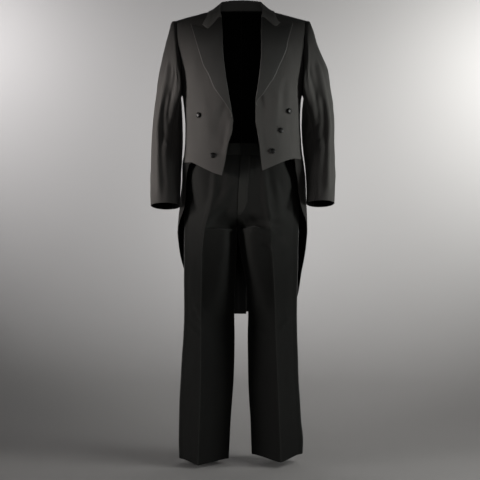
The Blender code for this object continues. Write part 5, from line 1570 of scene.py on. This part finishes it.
def half_collar(side, cells=64):
    """The face of half a collar: up the stand, over the fold and down the fall, at each way."""
    ways = np.linspace(0, 1, cells + 1)
    seam, normals, inward = neck_seam(side, ways)
    lay = FACING + LAY_GAP
    # The end at the gorge turns round the edge as the lapel does, then runs out along the gorge.
    gorge = np.array([float(edge_x(side, GORGE_Z)), GORGE_Z])
    low, end = np.array(COLLAR_LOW[side]), np.array(COLLAR_END[side])
    angles = np.radians([90, 68, 45, 22])
    beside = gorge - stack(TURN_RADIUS * np.sin(angles), 0 * angles)
    first = lay_on_front(side, beside, TURN_RADIUS * np.cos(angles) - CLOTH / 2)
    leaf_end = np.array([gorge, (gorge + low) / 2, low, end])
    last_column = np.concatenate([first, lay_on_front(side, leaf_end, np.full(4, lay))])
    gorge_fold = first[2]
    # Fold and outer edge along the way
    def read(name, last):
        rows = COLLAR.column
        return monotone(np.append(rows["way"], 1.0), np.append(rows[name], last), ways)

    fold = stack(*(read("fold_" + axis, gorge_fold[k]) for k, axis in enumerate("xyz")))
    edge_xs, edge_zs = read("edge_x", end[0]), read("edge_z", end[1])
    hind = to_form(side, edge_xs, edge_zs, True)
    hind[0, 0] = math.pi
    ahead = to_form(side, edge_xs, edge_zs, False)
    behind = back_form(side)(hind[:, 0], hind[:, 1])
    before = front_form(side)(ahead[:, 0], ahead[:, 1])
    edge = np.where((ways < 0.5)[:, None], behind, before)
    # Sections: the fold's frame is level outwards and upright.
    along = unit(np.gradient(fold, axis=0))
    out = unit(np.cross(along, [0.0, 0.0, 1.0]))
    out *= np.sign(np.sum(out * fold * [1, 1, 0], axis=1))[:, None]
    upright = unit(np.cross(out, along))
    upright *= np.sign(upright[:, 2:])
    radius = COLLAR_FOLD
    foot = seam + inward * COLLAR_STEP_OFF - normals * CLOTH / 2
    fold_in = fold - out * radius - upright * radius
    fold_out = fold + out * radius - upright * radius
    thirds = [fold_out + (edge - fold_out) * share for share in (1 / 3, 2 / 3, 1)]
    grid = np.stack([foot, (foot + fold_in) / 2, fold_in, fold, fold_out] + thirds, axis=1)
    blend = ease((ways - 0.55) / 0.45)[:, None, None]
    shear = (last_column - grid[-1])[None]
    grid = grid + shear * blend
    lift = lay + 0.8 * ease((0.9 - ways) / 0.2)
    grid[:, 4:] = keep_clear(grid[:, 4:], coat_surface(side), np.repeat(lift, 4))
    return grid


COLLAR_ACROSS = 40


def across_smoothly(grid, cells):
    """The grid's rows run through a soft curve, with more points."""
    return np.stack([smooth_line(row, np.linspace(0, 1, cells + 1)) for row in grid])


halves = {}
for side in SIGN:
    halves[side] = across_smoothly(half_collar(side), COLLAR_ACROSS)
grid = np.concatenate([halves["right"][::-1] * [-1, 1, 1], halves["left"][1:]])
normals = grid_normals(grid)
middle = grid.shape[0] // 2
normals *= np.sign(normals[middle, -6, 1])
height = unevenness(grid, *SWELL["collar"], 51.0) * ease(arcs(grid)[2] / EDGE_SOFT)
grid = grid + normals * height[..., None]
cloth(
    "coat_collar", None, grid, normals, ("edge", "edge", "seam", "edge"), COLLAR_WOOL_PAINTED_LIGHT, COLLAR_WOOL_PAINTED_LIGHT,
    "coat_wool", ["coat_back_right", "coat_back_left"],
)
tell("collar", "coat_collar")

# %% [markdown]
# ## Sleeves
#
# A tailored sleeve has a wide top half and a narrow under half, sewn together in front and behind. Its
# deepest folds start at the front of the armhole and run down to the elbow.

# %% Sleeves
FRONT_SLEEVE_SEAM = math.radians(129)
BACK_SLEEVE_SEAM = math.pi + SABRE_TURN
SLEEVE_ROWS_FINE = 130
SLEEVE_ENDS, CUFF_HELD = 0.08, 0.35  # share of the sleeve where folds fade, and what is left at the cuff
SLEEVE_SCALE = np.array([SLEEVE_LONG, SLEEVE_ROUND, SLEEVE_LONG, SLEEVE_ROUND, 1, 1, 1])
SLEEVE_TURNS = {
    "sleeve_top_": np.linspace(BACK_SLEEVE_SEAM - 2 * math.pi, FRONT_SLEEVE_SEAM, 84),
    "sleeve_under_": np.linspace(FRONT_SLEEVE_SEAM, BACK_SLEEVE_SEAM, 44),
}
for side in SIGN:
    form = sleeve_form(side)
    for prefix, turns in SLEEVE_TURNS.items():
        turn, way = np.meshgrid(turns, np.linspace(0, 1, SLEEVE_ROWS_FINE + 1))
        points = form(turn, way)
        along = form(turn + 0.02, way) - form(turn - 0.02, way)
        down = form(turn, np.minimum(way + 0.01, 1.0)) - form(turn, np.maximum(way - 0.01, 0.0))
        normals = unit(np.cross(along, down))
        degrees = np.degrees(np.where(turn > math.pi, turn - 2 * math.pi, turn))
        laid = np.array(SLEEVE_FOLDS[side]) * SLEEVE_SCALE
        relief = folds(laid, way * SLEEVE_LONG, degrees * SLEEVE_ROUND)
        relief = relief + unevenness(points, *SWELL["sleeve"], 61.0 + SIGN[side])
        at_cuff = CUFF_HELD + (1 - CUFF_HELD) * ease((1 - way) / SLEEVE_ENDS)
        relief = relief * ease(way / SLEEVE_ENDS) * at_cuff
        kinds = ("seam", "edge", "seam", "seam")
        points = raise_folds(points, normals, ("open", "open", "seam", "seam"), relief)
        rests = ["coat_front_" + side, "coat_back_" + side]
        cloth(prefix + side, side, points, normals, kinds, *COAT_FINISH, rests)
tell("sleeves", "sleeve")

# %% [markdown]
# ## Covered buttons
#
# A covered button is a disc of card with satin drawn over it, domed on top and gathered underneath. It is
# turned from one ring: extruded and resized, ring by ring, up the profile. A spin would do the same; the
# extrusions were chosen because they show the profile as its table reads.

# %% Buttons
BUTTON_SPOKES = 48
PROFILE = (
    (0.22, -0.10), (0.62, 0.00), (0.90, 0.14), (0.985, 0.30), (1.0, 0.42), (0.975, 0.56), (0.88, 0.74),
    (0.70, 0.88), (0.45, 0.965), (0.2, 0.995),
)


def model_button(name):
    radius, height = PROFILE[0]
    bpy.ops.object.select_all(action="DESELECT")
    bpy.ops.mesh.primitive_circle_add(
        vertices=BUTTON_SPOKES, radius=radius * BUTTON_ACROSS / 2 * MM, fill_type="NGON",
        location=(0, 0, 0),
    )
    piece = bpy.context.object
    piece.name = piece.data.name = name
    bpy.ops.object.mode_set(mode="EDIT")
    bpy.ops.mesh.select_all(action="SELECT")
    bpy.ops.transform.translate(value=(0, 0, height * BUTTON_HEIGHT * MM))
    for (r0, h0), (r1, h1) in zip(PROFILE, PROFILE[1:]):
        bpy.ops.mesh.extrude_region_move(
            TRANSFORM_OT_translate={"value": (0, 0, (h1 - h0) * BUTTON_HEIGHT * MM)}
        )
        bpy.ops.transform.resize(value=(r1 / r0, r1 / r0, 1))
    bpy.ops.mesh.select_all(action="SELECT")
    bpy.ops.mesh.normals_make_consistent(inside=False)
    bpy.ops.object.mode_set(mode="OBJECT")
    rounded = piece.modifiers.new("Rounded", "SUBSURF")
    rounded.levels = rounded.render_levels = 1
    bpy.ops.object.modifier_apply(modifier=rounded.name)
    bpy.ops.object.shade_smooth()
    return piece


def seat_button(node, side, point, normal):
    """Turns the button to face along the cloth's normal and sets it down on it."""
    piece = model_button(node + "_cover")
    mirror = np.array([SIGN[side], 1, 1])
    facing = Vector(normal * mirror)
    turned = facing.to_track_quat("Z", "Y").to_matrix().to_4x4()
    base = Vector((point + normal * LAY_GAP) * mirror * MM)
    piece.data.transform(Matrix.Translation(base) @ turned)
    piece.data.materials.append(BUTTON_SATIN)
    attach(piece, "root")
    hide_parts(node)
    return piece


BACK_BUTTONS = {"back_button_" + side: (side, BACK_BUTTON_X, BACK_BUTTON_Z) for side in SIGN}
for behind, form, buttons in ((False, front_form, FRONT_BUTTONS), (True, back_form, BACK_BUTTONS)):
    for node, (side, x, z) in buttons.items():
        place = to_form(side, np.array([x]), np.array([z]), behind)
        point, normal = face(form(side), place[:, 0], place[:, 1])
        seat_button(node, side, point[0], normal[0])
print("buttons", len(FRONT_BUTTONS) + len(BACK_BUTTONS), "each", BUTTON_ACROSS, "mm across")

# %% [markdown]
# ## Trousers
#
# Each leg has a front and a back panel with a pressed crease down its middle. The crease is a sharp, thin
# ridge, so the grid is closer there. The drapes from the crotch and the soft wrinkles at the knee are
# raised on top of it.

# %% Trouser panels
LEG_CELLS = 58
PANEL_ROWS = 200
SEAT_SHARE = 0.27  # share of the rows that lie above the crotch
CREASE_LINE = 0.9  # height of the pressed line itself
CREASE_NARROW = 2.0
PRESS_DROP, PRESS_RAMP = 60.0, 260.0  # where below its start the crease sets in, and over what height
PRESS_FLAT, PRESS_WIDE = 0.55, 7.0  # share of the folds that the iron takes away, and how far from the line


def trouser_panel(side, ahead):
    """Round and height over a leg panel, closer at the crease. Its rows bend at the crotch."""
    swing = np.linspace(-1, 1, LEG_CELLS + 1)
    around = 1 + np.sign(swing) * np.abs(swing) ** 1.2
    if not ahead:
        around = 4 - around[::-1]
    inward = ease(1 - np.minimum(around, 4 - around))
    outer, inner = np.array(SEAT_ROWS, float).T
    seat = round(PANEL_ROWS * SEAT_SHARE)
    place = np.linspace(0, len(SEAT_ROWS) - 1, seat + 1)
    marks = np.arange(len(SEAT_ROWS))
    outer, inner = monotone(marks, outer, place), monotone(marks, inner, place)
    upper = outer[:, None] + (inner - outer)[:, None] * inward
    share = np.linspace(0, 1, PANEL_ROWS - seat + 1)[1:, None]
    lower = CROTCH_Z + share * (hem_z(side, around) - CROTCH_Z)
    z = np.concatenate([upper, lower])
    return np.broadcast_to(around, z.shape).copy(), z


for side in SIGN:
    form = trouser_form(side)
    for prefix, ahead, rows in (
        ("trouser_front_", True, TROUSER_FRONT_FOLDS), ("trouser_back_", False, TROUSER_BACK_FOLDS),
    ):
        around, z = trouser_panel(side, ahead)
        points = form(around, z)
        normals = normals_out(points, [0, -1 if ahead else 1, 0])
        across = np.linalg.norm(points - points[:, LEG_CELLS // 2][:, None], axis=-1)
        pressed = ease((CREASE_START_Z - PRESS_DROP - z) / PRESS_RAMP)
        height = folds(rows[side], points[..., 0], points[..., 2])
        height = height * (1 - PRESS_FLAT * np.exp(-((across / PRESS_WIDE) ** 2)) * pressed)
        height = height + unevenness(points, *SWELL["trousers"], (71.0 if ahead else 83.0) + SIGN[side])
        height = height + CREASE_LINE * pressed * np.exp(-across / CREASE_NARROW)
        kinds = ("seam", "edge", "seam", "seam")
        points = raise_folds(points, normals, kinds, height)
        crease = across + FAR * (1 - pressed)
        cloth(
            prefix + side, side, points, normals, kinds, TROUSER_WOOL, TROUSER_LINING, "trouser_wool",
            ["waistband_" + side], WOOL_THICK, {"crease": crease},
        )
tell("trousers", "trouser")

# %% [markdown]
# ## Waistband, fly and braid
#
# The waistband is a firm strip with a turned top edge. The fly's edge laps over the opening and is stitched
# down along a line that curves in at its foot. A silk braid covers each outseam.

# %% Waistband
for side in SIGN:
    form = trouser_form(side)
    top, low = WAIST_TOP_Z, WAIST_TOP_Z - WAISTBAND_DEPTH
    around, z = np.meshgrid(np.linspace(0, 4, 141), np.linspace(low, top, 11))
    points = form(around, z)
    normals = normals_out(points, points * [0, 1, 0])
    height = WAISTBAND_LIFT + unevenness(points, *SWELL["waistband"], 91.0)
    points = points + normals * height[..., None]
    cloth(
        "waistband_" + side, side, points, normals, ("seam", "edge", "edge", "seam"), TROUSER_WOOL,
        TROUSER_LINING, "trouser_wool", ["trouser_front_" + side, "trouser_back_" + side], WOOL_THICK,
    )

# %% Fly
FLY_EDGE_LIFT = 0.9
FLY_SEAT = 0.35
form = trouser_form("left")
z = np.linspace(FLY_LOW_Z, WAIST_TOP_Z - WAISTBAND_DEPTH - 1.0, 61)
width = FLY_WIDTH * np.sqrt(np.clip((z - FLY_LOW_Z + 3) / 46, 0, 1))
opening = centre_x("left", z)
share = np.linspace(0, 1, 15)[None]
around = width[:, None] * share / (TROUSER.read("crease_left", "z", z) - opening)[:, None] + 0.004
height_at = np.broadcast_to(z[:, None], around.shape)
points = form(around, height_at)
normals = normals_out(points, [0, -1, 0])
relief = folds(TROUSER_FRONT_FOLDS["left"], points[..., 0], points[..., 2])
relief = relief + unevenness(points, *SWELL["trousers"], 72.0)
relief = relief * ease(arcs(points)[2] / SEAM_FADE)
lift = FLY_SEAT + (FLY_EDGE_LIFT - FLY_SEAT) * (1 - ease(share * 1.6))
points = points + normals * (relief + lift)[..., None]
fly_line = points[:, 12] + normals[:, 12] * 0.15
cloth(
    "trouser_fly", "left", points, normals, ("open", "open", "edge", "open"), TROUSER_WOOL, TROUSER_WOOL,
    "trouser_wool", ["trouser_front_left"], 0.9,
)

# %% Braids
for side in SIGN:
    form = trouser_form(side)
    z = np.linspace(WAIST_TOP_Z - WAISTBAND_DEPTH - 2, HEM_SIDE[side] + 1.0, 190)
    around, heights = np.meshgrid(np.linspace(-1, 1, 9), z)
    around = 2 - around * (BRAID_WIDTH / 2) / (TROUSER.read("front", "z", heights) * 1.35)
    points = form(around, heights)
    normals = normals_out(points, [1, 0, 0])
    points = points + normals * (LAY_GAP + SILK_TAPE)
    cloth(
        "braid_" + side, side, points, normals, ("open", "open", "edge", "edge"), BRAID_SILK, BRAID_SILK,
        "braid_silk", ["trouser_front_" + side, "trouser_back_" + side], SILK_TAPE,
    )
tell("strips", ("waistband", "braid"))

# %% [markdown]
# ## Stitches
#
# The fly is held by a row of machine stitches. Each stitch is one short capsule, modelled once and set down
# along the line by a loop, and all of them are one mesh.

# %% Stitches
STITCH_LONG = 2.6
STITCH_THICK = 0.45
STITCH_STEP = 3.4


def stitch_row(name, line, side, normal):
    """A row of short stitches along a line of points, laid on the cloth."""
    count = int(reach_of(line)[-1] / STITCH_STEP)
    places = polyline(line, (np.arange(count) + 0.5) / count)
    ahead = polyline(line, np.minimum((np.arange(count) + 0.6) / count, 1))
    bpy.ops.object.select_all(action="DESELECT")
    bpy.ops.mesh.primitive_uv_sphere_add(segments=6, ring_count=4, radius=0.5, location=(0, 0, 0))
    one = bpy.context.object
    corners = np.array([v.co for v in one.data.vertices]) * [STITCH_LONG, STITCH_THICK, STITCH_THICK]
    faces = [tuple(p.vertices) for p in one.data.polygons]
    bpy.data.objects.remove(one, do_unlink=True)
    points, polygons = [], []
    for place, target in zip(places, ahead):
        run = unit(target - place)
        across = unit(np.cross(normal, run))
        out = np.cross(run, across)
        base = len(points)
        for corner in corners:
            spot = place + run * corner[0] + across * corner[1] + out * corner[2]
            points.append(tuple(spot * [SIGN[side], 1, 1] * MM))
        polygons += [tuple(base + k for k in face_) for face_ in faces]
    mesh = bpy.data.meshes.new(name)
    mesh.from_pydata(points, [], polygons)
    row = bpy.data.objects.new(name, mesh)
    bpy.context.scene.collection.objects.link(row)
    mesh.shade_smooth()
    mesh.materials.append(THREAD_BLACK)
    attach(row, "root")
    return row


fly_stitches = stitch_row("fly_stitches", fly_line, "left", np.array([0.0, -1.0, 0.0]))
print("stitches", len(fly_stitches.data.polygons), "faces")

# %% [markdown]
# ## Studio
#
# The garment was photographed before a pale sweep of paper, floor and wall in one. It is built so here: a
# profile moved out of a grid, where a bent plane would need a modifier. The paper has a face only in front,
# so that the garment can also be seen from behind. Two beams from either side, each flagged off the far
# sleeve and the tails, make the sleeves and the chest the brightest. Soft boxes, a fill in front and one
# behind lift the blacks, and lamps of their own light the wall and the floor.

# %% Sweep
FLOOR_Z = cad_low.z - 0.012
WALL_Y = 1.9
SWEEP_ROUND = 1.5
SWEEP_WIDE = 14.0
SWEEP_FRONT = -5.5
SWEEP_HIGH = 3.2


def sweep_profile():
    """The sweep seen from the side: the floor, a quarter round and the wall, as y and z."""
    points = [(SWEEP_FRONT, FLOOR_Z), (WALL_Y - SWEEP_ROUND, FLOOR_Z)]
    for k in range(1, 25):
        angle = math.radians(90 * k / 24)
        y = WALL_Y - SWEEP_ROUND + SWEEP_ROUND * math.sin(angle)
        points.append((y, FLOOR_Z + SWEEP_ROUND * (1 - math.cos(angle))))
    points.append((WALL_Y, SWEEP_HIGH))
    return points


profile = sweep_profile()
bpy.ops.object.select_all(action="DESELECT")
bpy.ops.mesh.primitive_grid_add(x_subdivisions=1, y_subdivisions=len(profile) - 1, size=1)
sweep = bpy.context.object
sweep.name = sweep.data.name = "paper_sweep"
spots = [(half * SWEEP_WIDE / 2, y, z) for y, z in profile for half in (-1, 1)]
sweep.data.vertices.foreach_set("co", np.array(spots, np.float32).ravel())
bpy.ops.object.shade_smooth()
paper, paper_tree, paper_shader = start_finish("grey_paper", roughness=0.9, sheen=0.0, specular=0.2)
paper_tone = mix(paper_tree, speckle(paper_tree, 1.2, 2), (0.49, 0.482, 0.478, 1), (0.52, 0.512, 0.508, 1))
paper_tree.links.new(paper_tone, paper_shader.inputs["Base Color"])
# The paper has no back: seen from behind, it lets the garment show.
paper_output = paper_tree.nodes["Material Output"]
clear = add(paper_tree, "ShaderNodeBsdfTransparent").outputs[0]
from_behind = add(paper_tree, "ShaderNodeNewGeometry").outputs["Backfacing"]
one_sided = add(paper_tree, "ShaderNodeMixShader", {}, {0: from_behind, 1: paper_shader.outputs[0], 2: clear})
paper_tree.links.new(one_sided.outputs[0], paper_output.inputs["Surface"])
sweep.data.materials.append(paper)

# %% Light
SOFT_LIGHTS = (  # name, place, aim, width, height, power, spread in degrees, colour
    ("soft_box_right", (-1.90, -0.55, -1.15), (0.0, 0.0, -1.10), 0.6, 1.0, 2.3, 70, (1.0, 0.97, 0.95)),
    ("soft_box_left", (1.90, -0.55, -1.15), (0.0, 0.0, -1.10), 0.6, 1.0, 2.3, 70, (0.98, 1.0, 0.97)),
    ("wall_right", (-2.1, 0.95, 0.4), (-1.0, 1.9, 0.1), 0.4, 0.6, 11.0, 110, (1.0, 0.98, 0.99)),
    ("wall_left", (2.1, 0.95, 0.25), (1.0, 1.9, 0.0), 0.4, 0.6, 16.0, 120, (1.0, 1.0, 0.98)),
    ("wall_middle", (0.1, 0.8, -0.35), (0.1, 1.9, -0.35), 0.25, 0.25, 4.2, 160, (1.0, 1.0, 1.0)),
    ("front_fill", (0.0, -4.2, 0.0), (0.0, 0.0, -0.6), 2.4, 1.6, 6.0, 180, (1.0, 1.0, 1.0)),
    ("back_fill", (0.0, 1.6, 0.3), (0.0, 0.0, -0.7), 1.6, 1.2, 9.0, 180, (1.0, 1.0, 1.0)),
    ("floor_glow", (1.4, -0.7, 0.1), (1.0, -0.1, -1.6), 1.0, 1.0, 9.0, 180, (1.0, 0.99, 0.96)),
)
BEAMS = (  # name, place, aim, radius, cone in degrees, soft share of the cone, power, colour
    ("beam_right", (-1.90, -0.66, -0.30), (0.0, 0.0, -0.475), 0.14, 22, 0.35, 120.0, (1.0, 0.94, 0.91)),
    ("beam_left", (1.90, -0.66, -0.30), (0.0, 0.0, -0.475), 0.14, 22, 0.35, 82.0, (0.97, 1.0, 0.96)),
)
AIR_LIGHT, AIR_SEEN = 0.02, 0.35


def put_up_flag(name, pieces, state):
    """Keeps a lamp's light off the pieces (EXCLUDE), or gives it to them alone (INCLUDE)."""
    flag = bpy.data.collections.new(name + "_flag")
    for piece in pieces:
        flag.objects.link(piece)
    for entry in flag.collection_objects:
        entry.light_linking.link_state = state
    bpy.data.objects[name].light_linking.receiver_collection = flag


def hang_lamp(name, kind, place, aim, power, colour):
    lamp = bpy.data.lights.new(name, kind)
    lamp.energy = power
    lamp.color = colour
    holder = bpy.data.objects.new(name, lamp)
    bpy.context.scene.collection.objects.link(holder)
    holder.visible_camera = False
    holder.location = place
    holder.rotation_euler = (Vector(aim) - Vector(place)).to_track_quat("-Z", "Y").to_euler()
    return lamp


for name, place, aim, wide, high, power, spread, colour in SOFT_LIGHTS:
    lamp = hang_lamp(name, "AREA", place, aim, power, colour)
    lamp.shape = "RECTANGLE"
    lamp.size, lamp.size_y = wide, high
    lamp.spread = math.radians(spread)
for name, place, aim, radius, cone, blend, power, colour in BEAMS:
    lamp = hang_lamp(name, "SPOT", place, aim, power, colour)
    lamp.shadow_soft_size = radius
    lamp.spot_size = math.radians(cone)
    lamp.spot_blend = blend
    # A flag keeps each beam off the far sleeve and off the tails.
    far_side = "left" if place[0] < 0 else "right"
    shaded = ("sleeve_top_" + far_side, "sleeve_under_" + far_side, "coat_skirt_left", "coat_skirt_right")
    put_up_flag(name, [made_pieces[node] for node in shaded], "EXCLUDE")
# The lamp behind lights the garment's back alone, and the one over the floor the paper alone.
put_up_flag("back_fill", [sweep], "EXCLUDE")
put_up_flag("floor_glow", [sweep], "INCLUDE")
bpy.context.scene.view_settings.view_transform = "Standard"
world = bpy.data.worlds.new("studio_air")
bpy.context.scene.world = world
world.use_nodes = True
world.node_tree.nodes["Background"].inputs["Color"].default_value = (0.75, 0.76, 0.77, 1)
# Past the paper's edge the air shows as plain grey, though it hardly lights the cloth.
seen = add(world.node_tree, "ShaderNodeLightPath").outputs["Is Camera Ray"]
levels = {"Value": seen, "To Min": AIR_LIGHT, "To Max": AIR_SEEN}
strength = add(world.node_tree, "ShaderNodeMapRange", {}, levels)
world.node_tree.links.new(strength.outputs[0], world.node_tree.nodes["Background"].inputs["Strength"])

# %% [markdown]
# ## Camera
#
# The picture is taken level, from 3.4 metres, at the height of the hands. The picture is 480 pixels square,
# and its focal length was worked out from the garment's height in it.

# %% Camera
PICTURE = 480
FOCAL_PIXELS = 985.5
SENSOR = 36.0
eye = bpy.data.cameras.new("camera")
eye.sensor_width = SENSOR
eye.lens = FOCAL_PIXELS / PICTURE * SENSOR
camera = bpy.data.objects.new("camera", eye)
bpy.context.scene.collection.objects.link(camera)
camera.location = (-0.0047, -3.4, -0.80)
camera.rotation_euler = (math.radians(90), 0, 0)
bpy.context.scene.camera = camera

# %% Size of the finished garment
print("cad box", [round(v, 4) for v in cad_low], [round(v, 4) for v in cad_high])
print("triangles", sum(2 * measured[node][3] for node in measured))
